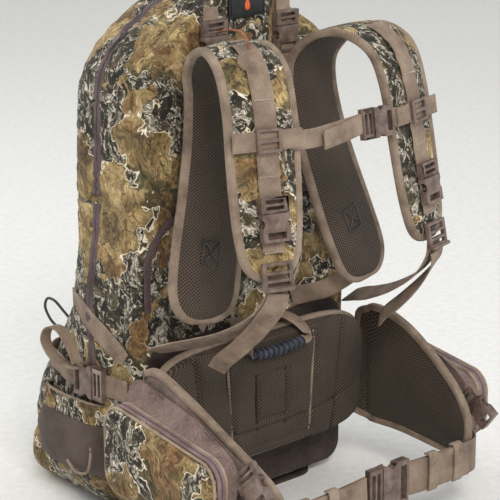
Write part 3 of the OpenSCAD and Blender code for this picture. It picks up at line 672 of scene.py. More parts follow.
def round_cord(name: str, path: Array, radius: float, finish: Finish, closed: bool = False,
               sides: int = 10) -> bpy.types.Object:
    """Builds a round cord of one radius along dense points."""
    path = np.asarray(path, float)
    ahead = np.roll(path, -1, 0) - np.roll(path, 1, 0) if closed else np.gradient(path, axis=0)
    along = unit(ahead)
    guide = np.where(np.abs(along[:, 2:]) > 0.9, [[1.0, 0.2, 0.0]], [[0.1, 0.2, 1.0]])
    one = unit(np.cross(guide, along))
    two = np.cross(along, one)
    t = np.arange(sides) * 2 * np.pi / sides
    rings = path[:, None] + radius * (one[:, None] * np.cos(t)[:, None] + two[:, None] * np.sin(t)[:, None])
    return tube(name, rings, [finish.make()], closed=closed)


def dashes(name: str, path: Array, outward: Array, finish: Finish, length: float = 2.6, pitch: float = 4.2,
           width: float = 0.7, height: float = 0.5, slant: float = 0.0) -> bpy.types.Object:
    """Sews a row of stitches: flattened pegs of one length, a pitch apart, along a path.

    Each stitch is a six-sided bar whose ends dip into the cloth.

    Args:
        name: the piece's name.
        path: dense points on the cloth.
        outward: the cloth's outward direction at each point.
        finish: the thread's finish.
        length: a stitch's length.
        pitch: the distance between stitches.
        width: half the thread's width.
        height: how far the thread stands up.
        slant: turns each stitch across the path, in radians.

    Returns:
        The object.
    """
    path, outward = np.asarray(path, float), np.asarray(outward, float)
    run = run_length(path)
    at = np.arange(pitch / 2, run[-1], pitch)
    centre, up = resampled(path, run, at), unit(resampled(outward, run, at))
    along = unit(resampled(np.gradient(path, axis=0), run, at))
    across = unit(np.cross(up, along))
    along, across = (along * math.cos(slant) + across * math.sin(slant),
                     across * math.cos(slant) - along * math.sin(slant))
    shape = np.array([[-1, 0, -0.6], [-0.5, -1, 0.5], [-0.5, 1, 0.5], [0.5, -1, 0.5],
                      [0.5, 1, 0.5], [1, 0, -0.6], [0, 0, -0.8], [0, 0, 1.0]])
    points = (centre[:, None] + along[:, None] * shape[None, :, :1] * length / 2
              + across[:, None] * shape[None, :, 1:2] * width + up[:, None] * shape[None, :, 2:] * height)
    local = np.array([[0, 1, 2], [5, 4, 3], [1, 3, 7], [3, 4, 7], [4, 2, 7], [2, 1, 7],
                      [1, 0, 6], [0, 2, 6], [3, 1, 6], [5, 3, 6], [4, 5, 6], [2, 4, 6]])
    faces = (local[None] + 8 * np.arange(len(at))[:, None, None]).reshape(-1, 3)
    return mesh_object(name, points, faces, None, [finish.make()])


def cad_copy(node: str, finish: Finish, bevel: float = 0.5, segments: int = 2) -> bpy.types.Object:
    """Copies a CAD node, merges its loose triangles and rounds its edges as a mould does."""
    source = frame["nodes"][node]
    mesh = source.data.copy()
    made = bpy.data.objects.new(node + "_moulded", mesh)
    bpy.context.scene.collection.objects.link(made)
    mesh.materials.clear()
    mesh.materials.append(finish.make())
    work = bmesh.new()
    work.from_mesh(mesh)
    bmesh.ops.remove_doubles(work, verts=work.verts, dist=0.00002)
    bmesh.ops.dissolve_limit(work, angle_limit=math.radians(2), verts=work.verts, edges=work.edges)
    if bevel:
        edges = [e for e in work.edges if len(e.link_faces) == 2 and e.calc_face_angle(0) > math.radians(35)]
        bmesh.ops.bevel(work, geom=edges, offset=bevel * MM, segments=segments, affect="EDGES", profile=0.6,
                        clamp_overlap=True)
    bmesh.ops.triangulate(work, faces=[f for f in work.faces if len(f.verts) > 4])
    work.to_mesh(mesh)
    work.free()
    mesh.polygons.foreach_set("use_smooth", np.ones(len(mesh.polygons), bool))
    mesh.set_sharp_from_angle(angle=math.radians(32))
    return made


def place(piece: bpy.types.Object, body: str, slot: str, *nodes: str) -> bpy.types.Object:
    """Rides a piece on a body and hides the CAD nodes it stands for."""
    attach(piece, body)
    if nodes:
        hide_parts(*nodes)
    LOG.info("%s rides on %s", piece.name, body)
    return piece


def thicken(piece: bpy.types.Object, thickness: float, lined: bool = False) -> None:
    """Gives a skin its wall with a Solidify modifier; a lined skin shows its second material inside."""
    wall = piece.modifiers.new("wall", "SOLIDIFY")
    wall.thickness = thickness * MM
    wall.offset = -1.0
    wall.use_even_offset = False
    wall.material_offset = int(lined)


def puff(piece: bpy.types.Object, seams: Callable[[Array], Array], pressure: float = 4.0,
         cap: float = 6.0) -> None:
    """Fills a padded piece with a short cloth simulation and applies the result.

    The piece's own mesh is blown up for 20 frames without gravity, held along its seams, and each point keeps
    at most cap millimetres of its travel, so the pad stays in its space.

    Args:
        piece: a closed piece.
        seams: gives how firmly, from 0 to 1, a seam holds each point in millimetres.
        pressure: the simulation's inner pressure.
        cap: the furthest a point may move.
    """
    count = len(piece.data.vertices)
    start = np.empty(count * 3)
    piece.data.vertices.foreach_get("co", start)
    start = start.reshape(-1, 3)
    held = np.clip(seams(start / MM), 0, 1)
    group = piece.vertex_groups.new(name="seam")
    for level in range(1, 11):
        group.add(np.nonzero(np.round(held * 10) == level)[0].tolist(), level / 10, "REPLACE")
    cloth = piece.modifiers.new("puff", "CLOTH")
    cloth.settings.use_pressure = True
    cloth.settings.uniform_pressure_force = pressure
    cloth.settings.effector_weights.gravity = 0
    cloth.settings.quality = 5
    cloth.settings.tension_stiffness = cloth.settings.compression_stiffness = 12
    cloth.settings.bending_stiffness = 0.3
    cloth.settings.vertex_group_mass = "seam"
    cloth.collision_settings.use_collision = False
    scene = bpy.context.scene
    for frame_number in range(1, 21):
        scene.frame_set(frame_number)
    blown = piece.evaluated_get(bpy.context.evaluated_depsgraph_get()).data
    end = np.empty(count * 3)
    blown.vertices.foreach_get("co", end)
    piece.modifiers.remove(cloth)
    piece.vertex_groups.remove(group)
    move = end.reshape(-1, 3) - start
    far = np.linalg.norm(move, axis=1, keepdims=True)
    LOG.info("%s puffed by at most %.1f mm, %.1f mm on average", piece.name, far.max() / MM, far.mean() / MM)
    move *= np.minimum(1.0, cap * MM / np.maximum(far, 1e-9))
    piece.data.vertices.foreach_set("co", (start + move).ravel())
    piece.data.update()
    scene.frame_set(1)


# ---------------------------------------------------------------- the bag


SPLIT_Z = 356.0
SPLIT_Y = 78.0
ZIP_END_Z = 172.0
BAG_CIRCLES = np.array([[60, 470, 78], [-60, 470, 78], [126, 230, 30], [-126, 230, 30],
                        [104, 47.4, 44], [-104, 47.4, 44], [0, 530, 60.0]])


def bag_outline(top: int, bottom: int) -> Array:
    """Returns the bag's outline (x, z), anticlockwise from the right-hand end of the flap's hinge.

    In direction a the outline's point is c + r (cos a, sin a) of the circle for which c.(cos a, sin a) + r is
    greatest; the dense outline is then spaced evenly above the hinge and below it.

    Args:
        top: how many points go over the crown, both hinge ends included.
        bottom: how many points go under the base.
    """
    a = np.linspace(-np.pi / 2, 1.5 * np.pi, 4000, endpoint=False)
    u = np.stack([np.cos(a), np.sin(a)], 1)
    best = np.argmax(u @ BAG_CIRCLES[:, :2].T + BAG_CIRCLES[:, 2], axis=1)
    dense = BAG_CIRCLES[best, :2] + BAG_CIRCLES[best, 2:] * u
    dense = looped(dense)
    run = run_length(dense)
    half = len(dense) // 2
    right = np.interp(SPLIT_Z, dense[:half, 1], run[:half])
    left = np.interp(-SPLIT_Z, -dense[half:, 1], run[half:])
    upper = np.linspace(right, left, top)
    lower = np.linspace(left, right + run[-1], bottom + 2)[1:-1] % run[-1]
    return resampled(dense, run, np.concatenate([upper, lower]))


def inset(outline: Array, centre: Sequence[float], amount: float) -> Array:
    """Draws an outline in towards a centre by a distance: c + (p - c) (1 - amount / |p - c|)."""
    away = outline - np.asarray(centre, float)
    return np.asarray(centre, float) + away * (1 - amount / np.linalg.norm(away, axis=1, keepdims=True))


def grid_normals(grid: Array, wrap: bool, middle: Sequence[float]) -> Array:
    """Returns the unit normal at each point of a grid, on the side that faces away from a middle."""
    across = np.roll(grid, -1, 1) - np.roll(grid, 1, 1) if wrap else np.gradient(grid, axis=1)
    out = unit(np.cross(across, np.gradient(grid, axis=0)))
    return out * np.sign(((grid - np.asarray(middle, float)) * out).sum(-1))[..., None]


@dataclass
class Bag:
    """The main bag: a shell with folded cloth sides, its zipped flap and their seams.

    Rows run from the middle of the back panel over the back edge, along the side and round the front edge to
    the middle of the front. The flap is the part of the grid outside the zip and above the hinge.
    """

    wall: float = 2.4
    top_points: int = 120
    bottom_points: int = 130
    back: float = 1.2
    back_inset: float = 8.0
    turn_y: float = 88.0
    front: float = 137.0
    front_inset: float = 40.0
    crown: float = 7.0
    seam_y: float = 24.0
    hinge_fold: float = 34.0

    def rows(self) -> list[tuple[float, float, float]]:
        """Returns each row as (y, inset, share of the way out from the pole)."""
        rows = [(self.back, self.back_inset, share) for share in np.linspace(0.02, 0.98, 26)]
        rows += [(self.back, self.back_inset, 1.0), (2.0, 5.0, 1.0), (4.5, 2.0, 1.0), (9.0, 0.0, 1.0)]
        rows += [(y, 0.0, 1.0) for y in (14, 19, 22, 23.2, 24, 24.8, 26, 30, 36, 43, 50, 57, 63, 68, 72, 75)]
        rows += [(y, 0.0, 1.0) for y in (77.4, 78.6, 81, 84, self.turn_y)]
        for t in np.linspace(0, np.pi / 2, 12)[1:]:
            y = self.turn_y + (self.front - self.turn_y) * math.sin(t)
            rows.append((y, self.front_inset * (1 - math.cos(t)), 1.0))
        for share in np.linspace(0.96, 0.02, 18):
            rows.append((self.front + self.crown * (1 - share**2), self.front_inset, float(share)))
        return rows

    def grid(self) -> Array:
        """Returns the whole surface with its folds, as rows of outline points."""
        outline = bag_outline(self.top_points, self.bottom_points)
        centre = (0.0, SPLIT_Z)
        points = []
        for y, amount, share in self.rows():
            ring = np.asarray(centre) + (inset(outline, centre, amount) - centre) * share
            points.append(np.stack([ring[:, 0], np.full(len(ring), y), ring[:, 1]], 1))
        grid = np.array(points)
        out = grid_normals(grid, True, (0, 70, 300))
        y, z = grid[..., 1], grid[..., 2]
        loose = np.clip((y - 3) / 20, 0, 1)
        folds = 2.2 * ripple(grid * [1, 1, 0.7], 85, 1) + 1.1 * creases(grid * [1, 0.8, 1.6], 42, 2) * loose
        folds += 0.5 * ripple(grid, 17, 3)
        slump = 3.2 * np.exp(-(((z - 150) / 110) ** 2)) + 2.0 * np.exp(-(((z - 440) / 80) ** 2))
        seams = 1.9 * np.exp(-(((y - self.seam_y) / 1.3) ** 2)) * (z > 60)
        seams += 2.2 * np.exp(-(((z - SPLIT_Z) / 3.0) ** 2)) * (y > self.seam_y)
        seams += 1.2 * np.exp(-(((y - SPLIT_Y) / 3.5) ** 2))
        puckers = 0.7 * np.sin(z * 0.55 + 2 * ripple(grid, 60, 4)) * np.exp(-(((y - SPLIT_Y) / 9) ** 2))
        move = (folds + slump + puckers) * (0.12 + 0.88 * loose) - seams
        move[y <= 1.3] = 0.35 * ripple(grid[y <= 1.3], 60, 5)
        return grid + out * move[..., None]

    def patch(self, name: str, grid: Array, rows: slice, columns: Array, wrap: bool,
              finish: Finish) -> bpy.types.Object:
        """Skins part of the grid and gives it a lined wall."""
        part = grid[rows][:, columns]
        m, n = part.shape[:2]
        along = run_length(part[:, n // 3])
        around = run_length(looped(part[-1 if wrap else 0]))
        faces, uv = grid_faces(m, n, along, around, False, wrap)
        made = mesh_object(name, part, faces, uv, [finish.make(), LINING.make()])
        outward_faces(made, (0, 0.07, 0.3))
        thicken(made, self.wall, lined=True)
        return made

    def build(self) -> None:
        """Builds the shell, the flap, their piping and the seam tapes."""
        grid = self.grid()
        rows = self.rows()
        split = next(i for i, row in enumerate(rows) if row[0] > SPLIT_Y)
        every = np.arange(grid.shape[1])
        upper = every[: self.top_points]
        lower = np.concatenate([every[self.top_points - 1:], every[:1]])
        back = self.patch("bag_back_and_sides", grid, slice(0, split), every, True, CAMO)
        place(back, "pack", "camo_fabric", "bag_shell")
        low = self.patch("bag_lower_front", grid, slice(split - 1, None), lower, False, CAMO)
        place(low, "pack", "camo_fabric")
        flap = self.patch("bag_flap", grid, slice(split, None), upper, False, CAMO)
        self.hang(flap, "camo_fabric", "main_flap")
        self.seams(grid, split, upper)

    def seams(self, grid: Array, split: int, upper: Array) -> None:
        """Lays the zip tapes, the teeth, the rain welt and the hinge piping on the grid's own rows."""
        centre = np.array([0, SPLIT_Y, SPLIT_Z - 30])
        for body, slot, row, step_y, node in (("pack", "zip_tape", split - 1, -1.0, "main_zipper_tape"),
                                              ("flap", "zip_tape", split, 1.0, "flap_zipper_tape")):
            edge = grid[row][upper][2:-2]
            out = unit((edge - centre) * [1, 0, 1])
            self.ribbon(f"{node}_ribbon", edge, out, step_y, body, slot, node)
            teeth = zip_teeth(f"{node}_teeth", edge + out * 1.5 + [0, -0.1 * step_y, 0], out,
                              length=1.5, pitch=2.4, width=1.0)
            self.attach(teeth, body, slot)
        for side in Side:
            self.lower_run(grid[split - 1], side)
        for side_column, tag in ((0, "right"), (self.top_points - 1, "left")):
            line = grid[split:, side_column]
            cord = round_cord(f"hinge_piping_{tag}", line[:-1] - [0, 0, 0.6], 1.5, WELT_CAMO)
            place(cord, "pack", "camo_fabric")

    def attach(self, piece: bpy.types.Object, body: str, slot: str, *nodes: str) -> None:
        """Hangs a piece of the flap with hang, and rides any other piece on its body."""
        if body == "flap":
            self.hang(piece, slot, *nodes)
        else:
            place(piece, body, slot, *nodes)

    def hang(self, piece: bpy.types.Object, slot: str, *nodes: str) -> None:
        """Bakes a flap piece's transform into its mesh and hides the CAD nodes it stands for."""
        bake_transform(piece)
        if nodes:
            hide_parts(*nodes)
        LOG.info("%s is blended over the flap's hinge", piece.name)

    def ribbon(self, name: str, edge: Array, out: Array, step_y: float, body: str, slot: str,
               *nodes: str) -> None:
        """Lays one half of a zip's welt along an edge: a low rounded section on its +Y or -Y side."""
        profile = ((-0.2, 0.3), (-0.2, 1.5), (2.5, 1.9), (6.2, 1.2), (6.6, 0.2), (3.0, -0.4))
        rings = [edge + out * rise + [0, step_y * shift, 0] for shift, rise in profile]
        self.attach(zip_tape(name, rings[::-1] if step_y > 0 else rings, WELT), body, slot, *nodes)

    def lower_run(self, row: Array, side: Side) -> None:
        """Runs the zip on below the hinge, closed, to its sewn end above the compression strap."""
        held = (row[:, 2] > ZIP_END_Z) & (row[:, 2] < SPLIT_Z + 1) & (row[:, 0] * side.value > 0)
        edge = row[held][np.argsort(-row[held][:, 2])]
        out = np.broadcast_to([float(side.value), 0.0, 0.0], edge.shape)
        for half, step_y in (("rear", -1.0), ("front", 1.0)):
            self.ribbon(f"main_zip_end_{half}_{side.tag}", edge, out, step_y, "pack", "zip_tape")
        teeth = zip_teeth(f"main_zip_end_teeth_{side.tag}", edge + out * 1.5, out,
                          length=1.9, pitch=2.4, width=1.0)
        place(teeth, "pack", "zip_tape")


def outward_faces(piece: bpy.types.Object, middle: Sequence[float]) -> None:
    """Turns every face of an open patch the way that points away from a middle, in metres."""
    work = bmesh.new()
    work.from_mesh(piece.data)
    bmesh.ops.remove_doubles(work, verts=work.verts, dist=0.000001)
    bmesh.ops.recalc_face_normals(work, faces=work.faces)
    total = sum((f.calc_center_median() - Vector(middle)).dot(f.normal) * f.calc_area() for f in work.faces)
    if total < 0:
        bmesh.ops.reverse_faces(work, faces=work.faces)
    work.to_mesh(piece.data)
    work.free()


def outward_local(piece: bpy.types.Object) -> None:
    """Makes the normals of a closed piece point out."""
    work = bmesh.new()
    work.from_mesh(piece.data)
    bmesh.ops.recalc_face_normals(work, faces=work.faces)
    if work.calc_volume(signed=True) < 0:
        bmesh.ops.reverse_faces(work, faces=work.faces)
    work.to_mesh(piece.data)
    work.free()


def zip_tape(name: str, lines: Sequence[Array], finish: Finish) -> bpy.types.Object:
    """Builds a zip's welt from the lines that run along it, in order round its section."""
    tape = tube(name, np.stack(lines, 1), [finish.make()], sharp_deg=40)
    outward_local(tape)
    return tape


def zip_teeth(name: str, line: Array, out: Array, length: float = 3.0, pitch: float = 2.2,
              width: float = 0.8, height: float = 0.9) -> bpy.types.Object:
    """Builds a zip's coil: a close row of bars that lie across the zip's line."""
    return dashes(name, line, out, ZIPPER_TEETH, length, pitch, width, height, slant=math.pi / 2)


@dataclass
class LowerPocket:
    """The big pocket low on the front: a lofted pouch whose boot bulges over the base."""

    levels: tuple[tuple[float, float, float, float], ...] = (
        (3.2, 128, 40, 5), (3.2, 175, 92, 20), (3.4, 208, 120, 26), (6, 224, 132, 32),
        (12, 236, 141, 40), (24, 241.5, 146, 44), (44, 241, 147.5, 44), (62, 234, 147, 43),
        (90, 226, 149, 42), (130, 207, 149, 40), (172, 181, 148, 37), (200, 168, 146, 34),
        (226, 150, 142, 28), (238, 138, 136, 22), (244, 126, 124, 18))
    back: float = 112.0
    wall: float = 2.2
    boot_z: float = 60.0
    zip_z: float = 226.0
    zip_half: float = 106.0

    def outline(self, depth: Array, half: Array, corner: Array, count: int) -> Array:
        """Returns U-shaped outlines (x, y): straight sides, two quarter circles and a straight front."""
        share = np.linspace(0, 1, count)
        knots = np.array([0.0, 0.2, 0.36, 0.64, 0.8, 1.0])
        which = np.clip(np.searchsorted(knots, share, side="right") - 1, 0, 4)
        t = ((share - knots[which]) / (knots[which + 1] - knots[which]))[None]
        depth, half, corner = depth[:, None], half[:, None], corner[:, None]
        start = np.minimum(self.back, depth - corner - 1)
        a = t * np.pi / 2
        x = np.select([which == 0, which == 1, which == 2, which == 3, which == 4],
                      [half + 0 * t, half - corner + corner * np.cos(a), (half - corner) * (1 - 2 * t),
                       -(half - corner) - corner * np.sin(a), -half + 0 * t])
        y = np.select([which == 0, which == 1, which == 2, which == 3, which == 4],
                      [start + (depth - corner - start) * t, depth - corner + corner * np.sin(a),
                       depth + 0 * t,
                       depth - corner + corner * np.cos(a), depth - corner + (start - depth + corner) * t])
        return np.stack([x, y], -1)

    def build(self) -> None:
        """Builds the pocket's skin, its boot seam, its zip and its cover strip."""
        rows = catmull(self.levels, 9)
        xy = self.outline(rows[:, 1], rows[:, 2], rows[:, 3], 150)
        grid = np.concatenate([xy, np.broadcast_to(rows[:, 0, None, None], (*xy.shape[:2], 1))], -1)
        out = grid_normals(grid, False, (0, 130, 110))
        z = grid[..., 2]
        move = (2.6 * ripple(grid, 80, 11) + 1.6 * creases(grid * [1, 1, 1.5], 45, 12)
                + 0.5 * ripple(grid, 16, 13))
        move *= np.clip((z - 3) / 25, 0.05, 1)
        move -= (3.0 * np.exp(-(((z - self.boot_z) / 3.2) ** 2))
                 + 1.5 * np.exp(-(((z - self.zip_z) / 4) ** 2)))
        grid = grid + out * move[..., None]
        m, n = grid.shape[:2]
        faces, uv = grid_faces(m, n, run_length(grid[:, n // 2]), run_length(grid[m // 2]), False, False)
        skin = mesh_object("lower_pocket_skin", grid, faces, uv, [CAMO.make(), LINING.make()])
        outward_faces(skin, (0, 0.13, 0.11))
        thicken(skin, self.wall, lined=True)
        place(skin, "pack", "camo_fabric", "lower_pocket")
        boot = grid[int(np.argmin(np.abs(rows[:, 0] - self.boot_z)))]
        place(round_cord("lower_pocket_boot_piping", boot, 1.4, WELT_CAMO), "pack", "camo_fabric")
        zip_row = grid[int(np.argmin(np.abs(rows[:, 0] - self.zip_z)))]
        zip_line = zip_row[np.abs(zip_row[:, 0]) < self.zip_half]
        slope = np.broadcast_to(unit(np.array([0, 0.66, 0.75])), zip_line.shape)
        rings = [zip_line + slope * up + np.array([0, 0.75, -0.66]) * w
                 for w, up in ((-5, 0.4), (-4.6, 1.8), (0, 2.3), (4.6, 1.8), (5, 0.4), (0, -0.6))]
        place(zip_tape("pocket_zip_tape", rings, WELT), "pack", "zip_tape", "pocket_zipper")
        place(zip_teeth("pocket_zip_teeth", zip_line + slope * 2.2, slope), "pack", "zip_tape")


@dataclass
class MeshPocket:
    """A stretch side pocket: a camo boot, a bulging net and a gathered camo cuff, for one side."""

    side: Side
    levels: tuple[tuple[float, float, float], ...] = (
        (12, 134, 13), (22, 137, 18), (34, 140, 23), (48, 144, 28), (60, 146, 31), (84, 146, 31),
        (100, 146, 26),
        (114, 146, 21.5), (126, 146, 20.5), (131, 146, 19.5))
    ends: tuple[float, float] = (78.0, 148.0)
    net_wall: float = 1.0
    cloth_wall: float = 1.8

    def build(self) -> None:
        """Builds the pocket as three bands of one lofted skin."""
        rows = catmull(self.levels, 8)
        t = np.linspace(-np.pi / 2, np.pi / 2, 90)
        middle, reach = sum(self.ends) / 2, (self.ends[1] - self.ends[0]) / 2
        x = rows[:, 1:2] + rows[:, 2:3] * np.cos(t)[None] ** 0.55
        y = middle + (reach + rows[:, 2:3]) * np.sin(t)[None]
        grid = np.stack([x, y, np.broadcast_to(rows[:, 0:1], x.shape)], -1)
        z = grid[..., 2]
        out = unit(np.stack([np.cos(t), np.sin(t) * 0.7, 0 * t], -1))[None]
        cuff = np.exp(-(((z - 122) / 9) ** 2))
        gathers = cuff * 1.3 * np.sin(y * 0.62 + 1.5 * ripple(grid, 50, 21 + self.side.value))
        sag = 1.8 * ripple(grid, 46, 23 + self.side.value) * (z < 110)
        grid = grid + out * (gathers + sag - 1.6 * np.exp(-(((z - 50) / 2.5) ** 2))
                             - 1.4 * np.exp(-(((z - 107) / 2.5) ** 2)))[..., None]
        grid[..., 0] *= self.side.value
        for name, low, high, finish in (("boot", 0, 50, CAMO), ("net", 49, 108, MESH_FINE),
                                        ("cuff", 106, 140, CAMO)):
            keep = (rows[:, 0] >= low) & (rows[:, 0] <= high)
            part = grid[keep]
            faces, uv = grid_faces(*part.shape[:2], run_length(part[:, 45]), run_length(part[len(part) // 2]),
                                   False, False)
            piece = mesh_object(f"side_pocket_{name}_{self.side.tag}", part, faces, uv, [finish.make()])
            outward_faces(piece, (self.side.value * 0.12, 0.113, 0.07))
            if name == "net":
                thicken(piece, self.net_wall)
                place(piece, "pack", "pocket_mesh", *once(self.side, "mesh_side_pockets"))
            else:
                thicken(piece, self.cloth_wall)
                place(piece, "pack", "camo_fabric")
        hem = grid[-1]
        place(round_cord(f"side_pocket_hem_{self.side.tag}", hem, 1.6, BINDING), "pack", "coyote_fabric")


# ---------------------------------------------------------------- harness


STRAP_ROWS = ((122, -66, 253, 1, 0.1, 0, 17, 3.5), (120.5, -64.5, 262, 1, 0.1, 0, 32, 6.4),
              (116, -61, 280, 1, 0.1, 0, 40, 6.8), (104, -53, 320, 1, 0.1, 0.05, 41, 6.8),
              (88, -44, 375, 1, 0.1, 0.05, 39, 6.8), (75, -35, 430, 1, 0.08, 0.02, 37, 6.8),
              (70, -28, 480, 1, 0.05, 0, 35, 6.6), (73, -31, 508, 1, 0.05, 0, 35, 6.4),
              (81, -54, 531, 1, 0.05, 0, 36, 6.4), (91, -88, 538, 1, 0.1, 0, 38, 6.6),
              (100, -119, 522, 1, 0.18, 0, 39, 6.8), (104, -135, 484, 1, 0.213, 0, 39, 6.8),
              (107.5, -144.5, 430, 1, 0.213, 0, 39, 6.8), (111, -153.5, 376, 1, 0.213, 0, 37, 6.8),
              (113.5, -159.5, 342, 1, 0.213, 0, 32, 6.6), (114.5, -162, 328, 1, 0.213, 0, 25, 5.5),
              (115, -163, 320, 1, 0.213, 0, 13, 3.0))
LEG_TOP, LEG_LOW = np.array([104.0, -135, 484]), np.array([111.0, -153.5, 376])
LEG_DOWN = unit(LEG_LOW - LEG_TOP)
LEG_OUT = unit(np.cross(LEG_DOWN, [1, 0.213, 0]))
LEG_WIDE = np.cross(LEG_OUT, LEG_DOWN)
STERNUM = LEG_TOP + (LEG_LOW - LEG_TOP) * (29 / 108) + LEG_OUT * 11.8


def leg_point(z: float, rise: float) -> Array:
    """Returns a point on the straight front of the right strap, raised off the pad's outer face."""
    share = (LEG_TOP[2] - z) / (LEG_TOP[2] - LEG_LOW[2])
    return LEG_TOP + (LEG_LOW - LEG_TOP) * share + LEG_OUT * (7 + rise)


def pad_rings(rows: Array, count: int, edge: float, seed: int, quilt: float = 0.0) -> Array:
    """Returns the rings of a padded band whose faces are crowned and whose edges are thin.

    The section is x = cos t and y = sin t (edge + (1 - edge) (1 - x^4)); the pad's faces also swell and sink
    a little with a smooth random field.
    """
    t = (np.arange(count) + 0.5) * 2 * np.pi / count
    x = np.sign(np.cos(t)) * np.abs(np.cos(t)) ** 0.7
    y = np.sign(np.sin(t)) * np.abs(np.sin(t)) ** 0.45 * (edge + (1 - edge) * (1 - x**4))
    rings = band_rings(rows, np.stack([x, y], 1))
    _, thick, _ = axes_of(rows[:, :3], rows[:, 3:6])
    swell = 0.5 * ripple(rings, 48, seed) + 0.35 * creases(rings, 26, seed + 1)
    swell -= quilt * np.exp(-((x / 0.08) ** 2))[None]
    return rings + thick[:, None] * (swell * np.sign(y)[None] * (1 - x**4)[None])[..., None]


def edge_path(rows: Array, reach: float) -> tuple[Array, Array]:
    """Returns the closed line round a band's edge and the band's thickness direction along it."""
    _, thick, wide = axes_of(rows[:, :3], rows[:, 3:6])
    right = rows[:, :3] + wide * (rows[:, 6:7] * reach)
    left = rows[:, :3] - wide * (rows[:, 6:7] * reach)
    return np.vstack([right, left[::-1]]), np.vstack([thick, thick[::-1]])


def binding(name: str, line: Array, thick: Array, half_wide: float, half_thick: float,
            finish: Finish) -> bpy.types.Object:
    """Folds a bound tape over a pad's edge: a soft oval carried along a closed line."""
    run = run_length(looped(line))
    at = np.arange(0, run[-1], 4.0)
    line, thick = resampled(looped(line), run, at), unit(resampled(looped(thick), run, at))
    for _ in range(2):
        line = (np.roll(line, 1, 0) + 2 * line + np.roll(line, -1, 0)) / 4
    along = unit(np.roll(line, -1, 0) - np.roll(line, 1, 0))
    wide = unit(np.cross(along, thick))
    thick = np.cross(wide, along)
    section = rounded_section(16, 0.8, 0.5) * [half_wide, half_thick]
    rings = line[:, None] + wide[:, None] * section[None, :, :1] + thick[:, None] * section[None, :, 1:]
    made = tube(name, rings, [finish.make()], closed=True)
    outward_local(made)
    return made


def mirrored(points: Sequence[Sequence[float]] | Array, side: Side) -> Array:
    """Returns points or directions for one side of the pack."""
    return np.asarray(points, float) * [side.value, 1, 1]


@dataclass
class ShoulderStrap:
    """One padded shoulder strap with its bound edge, daisy-chain webbing and sewn box."""

    side: Side
    tack_pitch: float = 25.0
    ladder_from_y: float = -92.0
    ladder_to_z: float = 344.0
    box_z: float = 318.0
    box_lift: float = 7.5
    box_half: tuple[float, float] = (13.0, 11.0)

    def build(self) -> None:
        """Builds the pad, the binding, the webbing and its bar tacks."""
        tag = self.side.tag
        rows = catmull(sided(STRAP_ROWS, self.side), 9)
        rings = pad_rings(rows, 44, 0.42, 31 + self.side.value)
        pad = tube(f"strap_pad_{tag}", rings, [MESH.make(), CAMO_STRAP.make()],
                   picks=lambda _, j: (j < 22).astype(int))
        outward_local(pad)
        place(pad, "pack", "camo_fabric", f"shoulder_strap_{tag}")
        line, thick = edge_path(rows, 0.97)
        place(binding(f"strap_binding_{tag}", line, thick, 4.4, 4.4, BINDING), "pack", "coyote_fabric")
        _, thick, _ = axes_of(rows[:, :3], rows[:, 3:6])
        ahead = rows[:, 1] < self.ladder_from_y
        start = int(np.argmax(ahead))
        stop = int(np.argmax(ahead & (rows[:, 2] < self.ladder_to_z)))
        ladder = rows[start:stop].copy()
        ladder[:, :3] += thick[start:stop] * (ladder[:, 7:8] + 1.5)
        ladder[:, 6:8] = HALF_25, THIN
        run = run_length(ladder[:, :3])
        ladder = resampled(ladder, run, np.arange(0, run[-1], 2.0))
        swell = 1.2 * np.abs(np.sin(np.pi * run_length(ladder[:, :3]) / self.tack_pitch)) ** 0.7
        web = tube(f"strap_ladder_{tag}", band_rings(ladder, FLAT, swell), [TAPE.make()],
                   FLAT_AROUND * HALF_25, sharp_deg=50)
        place(web, "pack", "webbing", *once(self.side, "strap_ladder_webbing"))
        for number, z in enumerate(range(495, 340, -25)):
            point = leg_point(z, 2.9)
            tack = np.linspace(point - LEG_WIDE * 11, point + LEG_WIDE * 11, 12)
            sewn = dashes(f"strap_tack_{tag}_{number}", mirrored(tack, self.side),
                          np.broadcast_to(mirrored(LEG_OUT, self.side), tack.shape), THREAD, length=2.4,
                          pitch=1.3, width=0.5, height=0.5, slant=math.pi / 2)
            place(sewn, "pack", "webbing")
        self.boxes(rows)

    def boxes(self, rows: Array) -> None:
        """Sews the dark box and its diagonals on the pad's inner face, near the lower end."""
        _, thick, wide = axes_of(rows[:, :3], rows[:, 3:6])
        pick = int(np.argmin(np.abs(rows[: len(rows) // 3, 2] - self.box_z)))
        along = unit(rows[pick + 2, :3] - rows[pick - 2, :3])
        half_long, half_wide = self.box_half
        for flip in (-1, 1):
            centre = rows[pick, :3] + flip * thick[pick] * self.box_lift
            corners = [centre + along * a * half_long + wide[pick] * b * half_wide
                       for a, b in ((-1, -1), (1, -1), (1, 1), (-1, 1), (-1, -1), (1, 1), (1, -1), (-1, 1))]
            line = np.vstack([np.linspace(a, b, 12) for a, b in zip(corners, corners[1:])])
            face = "outer" if flip > 0 else "inner"
            sewn = dashes(f"strap_box_{face}_{self.side.tag}", line,
                          np.broadcast_to(flip * thick[pick], line.shape),
                          THREAD_DARK, length=3.6, pitch=3.2, width=1.3, height=1.0)
            place(sewn, "pack", "webbing")


